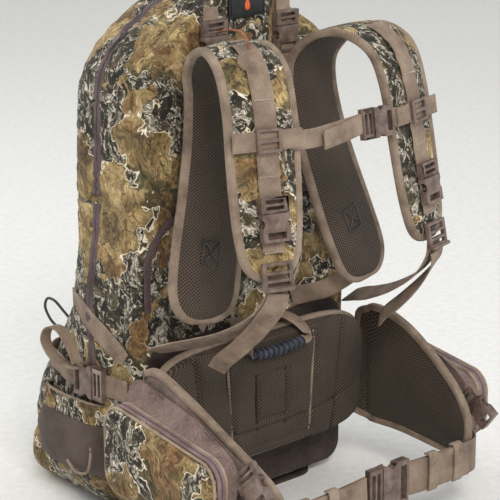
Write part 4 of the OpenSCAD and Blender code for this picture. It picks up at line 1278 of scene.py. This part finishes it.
@dataclass
class Webbings:
    """All the pack's loose webbing: lifters, sternum strap, adjusters, belt and side straps."""

    lean: tuple[float, float, float] = (0, 0.14, 0.99)

    def one(self, name: str, rows: Sequence[Sequence[float]], side: Side, body: str,
            nodes: Sequence[str] = ()) -> None:
        """Builds and places one strap."""
        place(webbing(name, rows, side), body, "webbing", *nodes)

    def build(self) -> None:
        """Builds every strap; the first piece of each CAD node stands for the node."""
        for side in Side:
            self.lifters(side)
            self.adjusters(side)
            self.side_straps(side)
            self.belt(side)
            guide = stations([STERNUM + LEG_WIDE * d for d in (-40, -20, 0, 20, 40)], *self.lean, HALF_20)
            self.one(f"sternum_guide_{side.tag}", guide, side, "sternum_strap", once(side, "sternum_webbing"))
        self.sternum()

    def lifters(self, side: Side) -> None:
        """Builds the load lifter's webbing above and below its buckle."""
        upper = [(52, -2.6, 567), (52, -3.0, 556), (52, -5.2, 546), (52, -7.8, 541)]
        self.one(f"lifter_upper_{side.tag}", stations(upper, *ACROSS, HALF_20), side, "pack",
                 once(side, "lifter_webbing"))
        lower = [(52, -8.4, 527), (52.4, -9.6, 512), (53.6, -11, 496), (56, -13.5, 482), (60, -19, 474)]
        self.one(f"lifter_lower_{side.tag}", stations(lower, *ACROSS, HALF_20), side, "pack")

    def adjusters(self, side: Side) -> None:
        """Builds the shoulder strap's adjuster with its loose tail, and the strap's sewn foot."""
        run = [(115.6, -173, 316, 0.97, 0.2, 0.1), (116, -170, 300, 0.97, 0.2, 0.1),
               (118, -150, 275, 0.95, 0.3, 0.1), (122, -112, 250, 0.9, 0.4, 0.15),
               (128, -72, 232, 0.85, 0.5, 0.2), (139, -40, 221, 0.8, 0.6, 0.1), (147, -16, 212, 0.8, 0.6, 0)]
        self.one(f"adjuster_{side.tag}", stations(run, HALF_25), side, "pack", once(side, "harness_webbing"))
        tail = [(117, -177, 306, 0.97, 0.2, 0.1, 12.5), (119, -173, 291, 0.9, 0.35, 0.2, 12.5),
                (120, -150, 263, 0.75, 0.5, 0.4, 11), (121, -122, 236, 0.6, 0.6, 0.5, 10),
                (122, -98, 216, 0.6, 0.6, 0.5, 10), (123, -88, 204, 0.7, 0.6, 0.4, 10)]
        self.one(f"adjuster_tail_{side.tag}", stations(tail), side, "pack")
        foot = [(112, -55, 256, 0.5, 0, -0.86), (102, -46, 246, 0.5, 0, -0.86), (88, -34, 236, 0.5, 0, -0.86),
                (76, -18, 230, 0.5, 0, -0.86), (64, -5, 226, 0.3, 0, -0.95)]
        self.one(f"strap_foot_{side.tag}", stations(foot, HALF_25), side, "pack")

    def side_straps(self, side: Side) -> None:
        """Builds the compression straps: the upper one, and the lower one with its looped tail."""
        upper = [(152.5, 116, 244, 0, 0.3, 1, 12.5), (158.6, 97, 237, 0, 0.35, 1, 12.5),
                 (161.6, 66, 222, 0, 0.4, 0.9, 12), (160.4, 38, 206, 0, 0.45, 0.9, 11),
                 (158.6, 20, 195, 0, 0.5, 0.85, 8)]
        self.one(f"side_strap_upper_{side.tag}", stations(upper), side, "pack", once(side, "side_straps"))
        corner_x, corner_y, reach = 111, 149, 41
        bend = [(corner_x + reach * math.cos(math.radians(a)), corner_y + reach * math.sin(math.radians(a)),
                 160 + a / 45, 0, -0.44 * a / 90, 0.95) for a in (90, 60, 30, 0)]
        lower = [(60, 190, 162, 0, -0.44, 0.9), *bend, (161.4, 118, 158, *UPRIGHT),
                 (162.4, 99, 158, *UPRIGHT)]
        self.one(f"side_strap_lower_{side.tag}", stations(lower, HALF_25), side, "pack")
        rear = [(161.5, 57, 158), (159, 42, 158), (158, 18, 158)]
        self.one(f"side_strap_rear_{side.tag}", stations(rear, *UPRIGHT, HALF_25), side, "pack")
        tail = [(168, 88, 171), (169, 108, 170), (170, 132, 174), (170, 147, 190),
                (169, 140, 206), (168, 122, 208), (168, 104, 194), (168, 92, 176)]
        self.one(f"side_strap_tail_{side.tag}", stations(tail, *ACROSS, 7), side, "pack")

    def belt(self, side: Side) -> None:
        """Builds the waist webbing, its doubled tail and the two keepers that hold the tail."""
        tag, wing = side.tag, f"wing_{side.tag}"
        end = 39 if side is Side.RIGHT else 20
        run = [(174, -158, 78), (171.5, -172, 72), (164, -196.5, 72), (143, -213.5, 72),
               (100, -211, 71), (58, -207.6, 70), (end, -207.4, 72)]
        self.one(f"waist_webbing_{tag}_run", stations(run, *UPRIGHT, HALF_38), side, wing,
                 (f"waist_webbing_{tag}",))
        tail = [(134, -216.2, 72), (100, -214.2, 71), (58, -211, 70), (end + 1, -210.6, 72)]
        self.one(f"waist_tail_{tag}", stations(tail, *UPRIGHT, HALF_38), side, wing)
        loop = [(-214.4, 50.5), (-217, 56), (-217.4, 72), (-217, 88), (-214.4, 93), (-209, 92.4)]
        for spot, at in (("near", 76), ("far", 116)):
            rows = stations([(at, *point) for point in loop], *ACROSS, 7, thick=1.1)
            place(webbing(f"waist_keeper_{spot}_{tag}", rows, side, 5, BINDING), wing, "webbing")

    def sternum(self) -> None:
        """Builds the sternum strap: its left run from its slider to its buckle, baked in place, its tail and
        its right run.
        """
        y = STERNUM[1] - 2
        rows = [(-78, y - 2.6, 454), (-48, y - 0.6, 451), (-8, y + 0.8, 453), (20, y - 2.6, 457)]
        run = webbing("sternum_run_left", stations(rows, *self.lean, HALF_20))
        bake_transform(run)
        tail = [(20, y - 5, 457, *self.lean), (-4, y - 4.4, 452, 0, 0.1, 0.99), (-38, y - 7, 448, *UPRIGHT)]
        self.one("sternum_tail", stations(tail, HALF_20), Side.RIGHT, "sternum_male")
        right = stations([(62, y - 4.2, 457), (80, y - 5, 456)], *self.lean, HALF_20)
        self.one("sternum_run_right", right, Side.RIGHT, "sternum_strap")


@dataclass
class LumbarPad:
    """The mesh-faced lumbar pad with its vertical quilting seams and bound edge."""

    half_width: float = 151.0
    low: float = 62.0
    high: float = 202.0
    front: float = -43.5
    back: float = -15.0
    seams: tuple[float, ...] = (-104.0, -62.0, -22.0, 22.0, 62.0, 104.0)
    bound_seam: float = 62.0
    lean: float = 8.0

    @property
    def middle(self) -> float:
        """The height of the pad's middle."""
        return (self.low + self.high) / 2

    def seam_x(self, seam: float, z: Array) -> Array:
        """Returns where an upright seam runs at each height; the outer seams lean out the most."""
        return seam + self.lean * (seam / self.seams[-1]) * (z - self.middle) / (self.high - self.middle)

    def off_cross_seam(self, x: Array, z: Array) -> Array:
        """Returns how far points lie above the seam that crosses the pad low down and curves up."""
        return z - 96 - 0.0009 * x**2

    def outline(self, count: int) -> Array:
        """Returns the pad's outline (x, z): a superellipse that narrows a little to its foot."""
        t = (np.arange(count) + 0.5) * 2 * np.pi / count
        x = np.sign(np.cos(t)) * np.abs(np.cos(t)) ** 0.22 * self.half_width
        z = self.middle + np.sign(np.sin(t)) * np.abs(np.sin(t)) ** 0.3 * (self.high - self.middle)
        z = z + np.where(z > self.middle, -8, 10) * (x / self.half_width) ** 4
        return np.stack([x, z], 1)

    def held(self, at: Array) -> Array:
        """Returns 1 on the pad's seams, its rim and its back, and 0 in the middle of each quilted panel."""
        x, y, z = at.T
        near = [np.exp(-(((x - self.seam_x(seam, z)) / 4.0) ** 2)) for seam in self.seams]
        near.append(np.exp(-((self.off_cross_seam(x, z) / 4.0) ** 2)))
        return np.maximum(np.max(near, axis=0), np.clip((y - self.front - 14) / 6, 0, 1))

    def build(self) -> None:
        """Builds the pad from its back pole over the edge to its front pole, then sinks the seams."""
        outline = self.outline(220)
        depth = self.front - self.back
        rows = [(self.back, share) for share in np.linspace(0.02, 0.96, 10)]
        t = np.linspace(0, np.pi, 14)
        rows += [(self.back + depth * 0.5 * (1 - math.cos(a)) * 0.8, 0.965 + 0.035 * math.sin(a)) for a in t]
        for share in np.linspace(0.955, 0.01, 40):
            rows.append((self.back + depth * (0.8 + 0.2 * (1 - share**6)), share))
        grid = np.array([np.stack([outline[:, 0] * share, np.full(len(outline), y),
                                   self.middle + (outline[:, 1] - self.middle) * share], 1)
                         for y, share in rows])
        x, z = grid[..., 0], grid[..., 2]
        facing = np.clip((self.back - 12 - grid[..., 1]) / 10, 0, 1)
        sink = sum(4.6 * np.exp(-(((x - self.seam_x(seam, z)) / 2.8) ** 2)) for seam in self.seams)
        sink = sink + 3.4 * np.exp(-((self.off_cross_seam(x, z) / 2.6) ** 2))
        swell = 1.3 * ripple(grid, 60, 41) + 0.8 * creases(grid, 30, 42)
        grid[..., 1] += facing * (sink - swell)
        m, n = grid.shape[:2]
        faces, _ = grid_faces(m, n, run_length(grid[:, n // 3]), run_length(looped(grid[24])), False, True)
        corner = grid[..., [0, 2]].reshape(-1, 2)[faces.ravel()]
        pad = mesh_object("lumbar_pad_mesh", grid, faces, corner, [MESH.make()])
        outward_faces(pad, (0, -0.03, 0.132))
        puff(pad, self.held, pressure=6.0, cap=5.0)
        place(pad, "pack", "spacer_mesh", "lumbar_pad")
        z = np.linspace(self.low + 9, self.high - 9, 60)
        for number, seam in enumerate(self.seams):
            y = self.front + 2.8 + 3.0 * (np.abs(z - self.middle) / 62) ** 8
            y = y + 2.0 * abs(seam / self.seams[-1]) ** 6
            welt = BINDING if abs(seam) == self.bound_seam else BROWN
            path = np.stack([self.seam_x(seam, z), y, z], 1)
            cord = round_cord(f"lumbar_seam_{number}", path, 1.6, welt)
            place(cord, "pack", "coyote_fabric" if welt is BINDING else "brown_fabric")
        line = np.stack([outline[:, 0], np.full(len(outline), self.back - 7.0), outline[:, 1]], 1)
        facing = np.broadcast_to([0.0, -1, 0], line.shape)
        place(binding("lumbar_binding", line, facing, 3.6, 5.2, BINDING), "pack", "coyote_fabric")


@dataclass
class HipWing:
    """One padded wing of the hip belt; HipPouch builds its hip pouch.

    The wing is a pad of the belt's stations: net towards the wearer, coyote cloth outside.
    """

    side: Side
    rows: tuple[tuple[float, ...], ...] = (
        (158, -16, 131, 0, 0, 1, 62, 4.5), (165, -31, 130, 0, 0, 1, 67, 6),
        (166, -44, 129.5, 0, 0, 1, 70, 7.3), (168, -80, 122, 0, 0, 1, 64, 7.3),
        (165, -125, 109, 0, 0, 1, 52, 7.2), (159, -165, 96, 0, 0, 1, 40, 7),
        (151, -192, 84, 0, 0, 1, 28, 6.5), (145, -203, 78, 0, 0, 1, 15, 4))

    def build(self) -> None:
        """Builds the pad and its binding."""
        tag, sign = self.side.tag, self.side.value
        rows = catmull(sided(self.rows, self.side), 9)
        rings = pad_rings(rows, 56, 0.4, 51 + sign)
        pad = tube(f"hip_wing_pad_{tag}", rings, [MESH.make(), COYOTE.make()],
                   picks=lambda _, j: (j >= 28).astype(int))
        outward_local(pad)
        line, thick = edge_path(rows, 0.985)
        puff(pad, lambda at: 1.3 - np.min(np.linalg.norm(at[:, None] - line[None], axis=2), axis=1) / 12,
             cap=4.0)
        self.cross(pad)
        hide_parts(f"hip_wing_{tag}")
        edge = binding(f"hip_wing_binding_{tag}", line, thick, 4.2, 4.6, BINDING)
        self.cross(edge)
        LOG.info("hip wing %s is blended over its hinge", tag)

    def cross(self, piece: bpy.types.Object) -> None:
        """Bakes a piece's transform into its mesh."""
        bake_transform(piece)


@dataclass
class HipPouch:
    """A zipped hip pouch: a coyote gusset, a wide arched zip and a domed camo face that opens."""

    side: Side
    inner: float = 175.0
    split: float = 201.5
    middle: tuple[float, float, float] = (186.0, -91.0, 112.0)
    wall: float = 1.8

    def outline(self, count: int, shrink: float = 0.0) -> Array:
        """Returns the pouch's outline (y, z): four round corners, the top falling towards the front."""
        r = 24.0 - min(shrink, 10)
        back, front, low, top = -4.0 - shrink, -178.0 + shrink, 68.0 + shrink, 165.0 - shrink
        corners = ((back - r, low + r, -90), (back - r, top - r, 0),
                   (front + r, top - r - 0.16 * (back - front - 2 * r), 90), (front + r, low + r, 180))
        path = []
        for y, z, start in corners:
            a = np.radians(np.linspace(start, start + 90, 14))
            path.append(np.stack([y + r * np.cos(a), z + r * np.sin(a)], 1))
        dense = looped(np.vstack(path))
        run = run_length(dense)
        return resampled(dense, run, np.linspace(0, run[-1], count, endpoint=False))

    def loft(self, name: str, rows: Sequence[tuple[float, float, float]], finish: Finish, body: str,
             slot: str,
             node: str, seed: int) -> bpy.types.Object:
        """Skins rows of (x, shrink, share of the way out), wrinkles the cloth and gives it a wall."""
        count = 150
        centre = np.array(self.middle[1:])
        grid = []
        for x, shrink, share in rows:
            ring = centre + (self.outline(count, shrink) - centre) * share
            grid.append(np.stack([np.full(count, x), ring[:, 0], ring[:, 1]], 1))
        grid = np.array(grid)
        rim = self.split - 12
        near = np.clip((rim - grid[..., 0]) / (rim - self.inner), 0, 1) ** 1.4
        reach = np.clip((grid[..., 2] - 112) / 50, 0, 1) * np.clip((grid[..., 1] + 180) / 60, 0, 1)
        grid[..., 2] += 24 * near * reach
        out = grid_normals(grid, True, self.middle)
        move = 1.1 * ripple(grid, 44, seed) + 0.8 * creases(grid, 24, seed + 1)
        grid = grid + out * move[..., None]
        grid[..., 0] *= self.side.value
        m, n = grid.shape[:2]
        faces, uv = grid_faces(m, n, run_length(grid[:, 0]), run_length(looped(grid[0])), False, True)
        piece = mesh_object(name, grid, faces, uv, [finish.make(), LINING.make()])
        outward_faces(piece, (self.side.value * 0.186, -0.091, 0.112))
        thicken(piece, self.wall, lined=True)
        place(piece, body, slot, node)
        return piece

    def ring_at(self, x: float, shrink: float, count: int = 220) -> Array:
        """Returns the pouch's outline in space at one distance from the pack's middle."""
        ring = self.outline(count, shrink)
        return np.stack([np.full(count, x * self.side.value), ring[:, 0], ring[:, 1]], 1)

    def build(self) -> None:
        """Builds the gusset, the face, the zip between them and their piping."""
        tag, wing, door = self.side.tag, f"wing_{self.side.tag}", f"pouch_door_{self.side.tag}"
        gusset = [(self.inner, 0, share) for share in np.linspace(0.04, 0.97, 8)]
        for x in np.linspace(self.inner, self.split, 14):
            gusset.append((x, 0.5 * ((x - 188) / 13) ** 2 - 0.4, 1.0))
        self.loft(f"pouch_gusset_{tag}", gusset, COYOTE, wing, "coyote_fabric", f"pouch_body_{tag}", 61)
        face = [(self.split + 1.0, 0.4, 1.0)]
        for t in np.linspace(0.2, 1.5, 8):
            face.append((self.split + 1 + 9 * math.sin(t), 1 + 9 * (1 - math.cos(t)), 1.0))
        face += [(self.split + 10 + 4.5 * (1 - s**2.2), 9.6, s) for s in np.linspace(0.96, 0.02, 16)]
        self.loft(f"pouch_front_{tag}", face, CAMO_POUCH, door, "camo_fabric", f"pouch_face_{tag}", 63)
        for name, x, shrink, body in (("gusset", self.split - 10.5, -0.9, wing),
                                      ("face", self.split + 4.5, -0.2, door)):
            cord = round_cord(f"pouch_piping_{name}_{tag}", self.ring_at(x, shrink), 1.7, PIPING, closed=True)
            place(cord, body, "coyote_fabric")
        self.zip(tag, wing)

    def zip(self, tag: str, wing: str) -> None:
        """Lays the zip between the gusset and the face, over the pouch's top and down its front."""
        count = 220
        middle = self.outline(count)
        keep = (middle[:, 1] > 92) | (middle[:, 0] < -150)
        order = np.argsort((np.arange(count) - np.argmax((~keep) & np.roll(keep, -1))) % count)
        order = order[np.isin(order, np.nonzero(keep)[0])]
        line = self.ring_at(self.split - 4.0, -1.0, count)[order]
        out = unit((line - np.array([line[0, 0], *self.middle[1:]])) * [0, 1, 1])
        across = np.array([self.side.value, 0.0, 0])
        profile = ((-5.6, 0), (-5.2, 1.2), (-1, 1.7), (1, 1.7), (5.2, 1.2), (5.6, 0), (0, -0.5))
        welt = [line + out * up + across * wide for wide, up in profile]
        place(zip_tape(f"pouch_zip_tape_{tag}", welt, WELT_POUCH), wing, "zip_tape")
        place(zip_teeth(f"pouch_zip_teeth_{tag}", line + out * 1.7, out), wing, "zip_tape")


@dataclass
class Handles:
    """The haul handle, the lumbar grip's straps and the moulded patch."""

    def build(self) -> None:
        """Builds the handles and the patch with its generic droplet mark."""
        arch = stations([(-34, 2, 581), (-33.5, 3, 594), (-21, 4, 606), (0, 4, 610), (21, 4, 606),
                         (33.5, 3, 594), (34, 2, 581)], 0, 1, 0, 11.5, thick=1.5)
        place(webbing("haul_handle_web", arch, Side.RIGHT), "pack", "webbing", "haul_handle")
        self.grip()
        plate = cad_copy("hydration_patch", PATCH, bevel=0.8, segments=3)
        place(plate, "pack", "patch_rubber", "hydration_patch")
        self.mark()

    def grip(self) -> None:
        """Turns the ribbed grip, r = 5 + 1.2 cos^2 with ten ribs, and hangs it from two webbing straps."""
        x = np.linspace(-39, 39, 240)
        radius = 5.0 + 1.3 * (np.cos(np.pi * x / 7.6) ** 2 > 0.35) * (np.abs(x) < 36)
        radius *= np.clip((39.3 - np.abs(x)) / 1.6, 0.2, 1) ** 0.5
        t = np.linspace(0, 2 * np.pi, 28, endpoint=False)
        droop = -2.2 * np.cos(np.pi * x / 78)
        rings = np.stack([np.broadcast_to(x[:, None], (240, 28)), -51 + radius[:, None] * np.cos(t),
                          190 + droop[:, None] + radius[:, None] * np.sin(t)], -1)
        grip = tube("lumbar_grip", rings, [RUBBER.make()], sharp_deg=45)
        outward_local(grip)
        place(grip, "lumbar_handle", "grip_rubber", "lumbar_handle")
        rows = stations([(38, -51, 190, 0.3, 0.5, 0.8, 5), (46, -51, 196, 0.6, 0.6, 0.3, 8),
                         (42, -37, 209, 1, 0.3, 0, 9), (32, -22, 217, 1, 0.3, 0, 9),
                         (26, -6, 219, 1, 0, 0, 9)])
        for side in Side:
            place(webbing(f"lumbar_grip_strap_{side.tag}", rows, side), "lumbar_handle", "webbing")

    def mark(self) -> None:
        """Moulds the droplet and the thin rim on the patch."""
        t = np.linspace(0, 2 * np.pi, 60, endpoint=False)
        drop = np.stack([4.6 * np.sin(t) * np.sin(t / 2) ** 0.9, 6.5 * np.cos(t)], 1)
        rings = [np.stack([drop[:, 0] * s, np.full(60, -3.1 - d), 565 + drop[:, 1] * s], 1)
                 for s, d in ((1.0, -0.3), (1.0, 0.25), (0.86, 0.55), (0.4, 0.7), (0.03, 0.74))]
        mark = tube("patch_droplet", np.array(rings), [MARK.make()])
        outward_local(mark)
        place(mark, "pack", "patch_rubber")
        rim = np.array([[x, -3.2, z] for x, z in ((-23, 555), (23, 555), (23, 575), (-23, 575))])
        cord = round_cord("patch_raised_rim", rim, 0.45, PATCH, closed=True, sides=6)
        place(cord, "pack", "patch_rubber")


@dataclass
class CordLoops:
    """The elastic lash loops sewn on the lower pocket and the side pockets."""

    radius: float = 1.6

    def build(self) -> None:
        """Builds the loops along the CAD's route, which they keep."""
        shock = [[130, 156, 205], [132, 164, 212], [136, 174, 222], [137, 186, 222], [137, 191, 211],
                 [136, 183, 198], [134, 171, 190], [132, 161, 185]]
        lash = [[176, 62, 88], [180, 58, 74], [181, 64, 58], [181, 84, 54], [181.5, 98, 64]]
        for side in Side:
            path = catmull(mirrored(shock, side), 10)
            place(round_cord(f"shock_loop_{side.tag}", path, self.radius, CORD), "pack", "elastic_cord",
                  *once(side, "cord_loops"))
            path = catmull(mirrored(lash, side), 10)
            place(round_cord(f"lash_loop_{side.tag}", path, self.radius, BINDING), "pack", "elastic_cord")
        hose = catmull([[-52, -13, 541], [-62, -40, 549], [-78, -80, 553], [-92, -104, 548],
                        [-99, -118, 538]], 8)
        place(round_cord("hose_keeper_cord", hose, 1.3, CORD_ORANGE), "pack", "elastic_cord")
        tab = [[-118, -123, 528, 0, 0.6, 0.8, 4, 1.2], [-110, -121, 531, 0, 0.6, 0.8, 10.5, 1.8],
               [-99, -120, 533, 0, 0.6, 0.8, 11, 1.8], [-89, -119, 532.5, 0, 0.6, 0.8, 10.5, 1.8],
               [-82, -118, 530, 0, 0.6, 0.8, 4, 1.2]]
        place(webbing("hose_keeper_tab", tab, Side.RIGHT, 6), "pack", "webbing")


@dataclass
class AccessZip:
    """A side access zip: its curved welt and teeth on the back panel, for one side."""

    side: Side
    centre: tuple[float, float] = (84.0, 290.0)
    radius: float = 59.0

    def build(self) -> None:
        """Builds the welt and the teeth along the arc and the straight."""
        a = np.radians(np.linspace(90, 0, 30))
        arc = np.stack([np.cos(a), np.sin(a)], 1) * self.radius + self.centre
        down = np.stack([np.full(12, self.centre[0] + self.radius), np.linspace(286, 250, 12)], 1)
        flat = np.vstack([arc, down])
        line = mirrored(np.stack([flat[:, 0], np.full(len(flat), -1.3), flat[:, 1]], 1), self.side)
        along = unit(np.gradient(line, axis=0))
        out = np.broadcast_to([0.0, -1, 0], line.shape)
        across = np.cross(along, out)
        profile = ((-4, -0.8), (-4, 0.8), (-1, 1.3), (1, 1.3), (4, 0.8), (4, -0.8))
        welt = [line + across * wide + out * up for wide, up in profile]
        tape = zip_tape(f"access_zip_tape_{self.side.tag}", welt, WELT)
        place(tape, "pack", "zip_tape", *once(self.side, "access_zippers"))
        teeth = zip_teeth(f"access_zip_teeth_{self.side.tag}", line + out * 1.5, out, height=0.8)
        place(teeth, "pack", "zip_tape")


@dataclass
class Hardware:
    """The moulded buckles, locks and sliders, and the parts inside the pack."""

    def build(self) -> None:
        """Copies each moulded node with rounded edges, and finishes the nodes that stay as they are."""
        slots = {row["node"]: row["material_slot"] for row in frame["record"]["subparts"]}
        bodies = {node: body for body, nodes in frame["record"]["behaviour"]["bodies"].items()
                  for node in nodes}
        moulded = {"buckle_plastic": (ACETAL, 0.55), "zip_metal": (PAINTED, 0.3)}
        inside = {"frame_plastic": SHEET, "stay_aluminium": STAY, "pad_foam": FOAM}
        plain = {"hydration_sleeve": LINING, "base_panel": BROWN, "lower_back_panel": BROWN,
                 "stabiliser_panels": BROWN}
        for node, slot in slots.items():
            if slot in moulded:
                finish, bevel = moulded[slot]
                place(cad_copy(node, finish, bevel), bodies[node], slot, node)
        for node, slot in slots.items():
            finish = plain.get(node) or inside.get(slot)
            if finish is not None:
                for material_slot in frame["nodes"][node].material_slots:
                    material_slot.material = finish.make()


@dataclass(frozen=True)
class Studio:
    """The camera, the soft lights and the pale floor."""

    heading: float = 43.0
    drop: float = 16.0
    distance: float = 2.10
    lens: float = 138.6
    shift_x: float = -0.042
    target: tuple[float, float, float] = (0.0, -0.040, 0.300)
    sky_low: float = 0.617
    sky_rise: float = 0.155

    def lamp(self, name: str, spot: Sequence[float], power: float, size: float, tint: str) -> None:
        """Adds an area light that looks at the pack."""
        data = bpy.data.lights.new(name, "AREA")
        data.energy, data.size, data.color = power, size, linear(tint)[:3]
        lamp = bpy.data.objects.new(name, data)
        bpy.context.scene.collection.objects.link(lamp)
        lamp.location = spot
        lamp.rotation_euler = (Vector(self.target) - Vector(spot)).to_track_quat("-Z", "Y").to_euler()

    def build(self) -> None:
        """Places the camera, the lights, the world and the floor."""
        p, e = math.radians(self.heading), math.radians(self.drop)
        ahead = Vector((math.sin(p) * math.cos(e), math.cos(p) * math.cos(e), -math.sin(e)))
        data = bpy.data.cameras.new("camera")
        data.lens, data.shift_x, data.clip_end = self.lens, self.shift_x, 60
        camera = bpy.data.objects.new("camera", data)
        bpy.context.scene.collection.objects.link(camera)
        camera.location = Vector(self.target) - ahead * self.distance
        camera.rotation_euler = ahead.to_track_quat("-Z", "Y").to_euler()
        bpy.context.scene.camera = camera
        self.lamp("key", (-1.3, -2.3, 2.5), 58, 1.0, "#FFFAF4")
        self.lamp("fill", (2.1, -1.6, 1.3), 16, 1.8, "#F2F6FF")
        self.lamp("rim", (-0.9, 2.3, 1.9), 26, 1.2, "#FFFFFF")
        world = bpy.data.worlds.new("studio")
        world.use_nodes = True
        tree = world.node_tree
        tree.nodes["Background"].inputs["Color"].default_value = linear("#F4F4F2")
        ahead_of = add(tree, "TexCoord").outputs["Generated"]
        height = add(tree, "SeparateXYZ", links={"Vector": ahead_of}).outputs["Z"]
        rise = maths(tree, "MULTIPLY", maths(tree, "MAXIMUM", height, 0.0), self.sky_rise)
        tree.links.new(maths(tree, "ADD", rise, self.sky_low), tree.nodes["Background"].inputs["Strength"])
        bpy.context.scene.world = world
        bpy.context.scene.view_settings.view_transform = "Standard"
        side = 14000.0
        corners = np.array([[-side, -side, 0], [side, -side, 0], [side, side, 0], [-side, side, 0]])
        floor = mesh_object("studio_floor", corners, [[0, 1, 2, 3]])
        floor.data.materials.append(FLOOR.make())


def main() -> None:
    """Builds the pack's pieces in order."""
    Studio().build()
    Bag().build()
    LowerPocket().build()
    for side in Side:
        MeshPocket(side).build()
        AccessZip(side).build()
        ShoulderStrap(side).build()
        HipWing(side).build()
        HipPouch(side).build()
    LumbarPad().build()
    Webbings().build()
    Handles().build()
    CordLoops().build()
    Hardware().build()


if __name__ == "__main__":
    main()
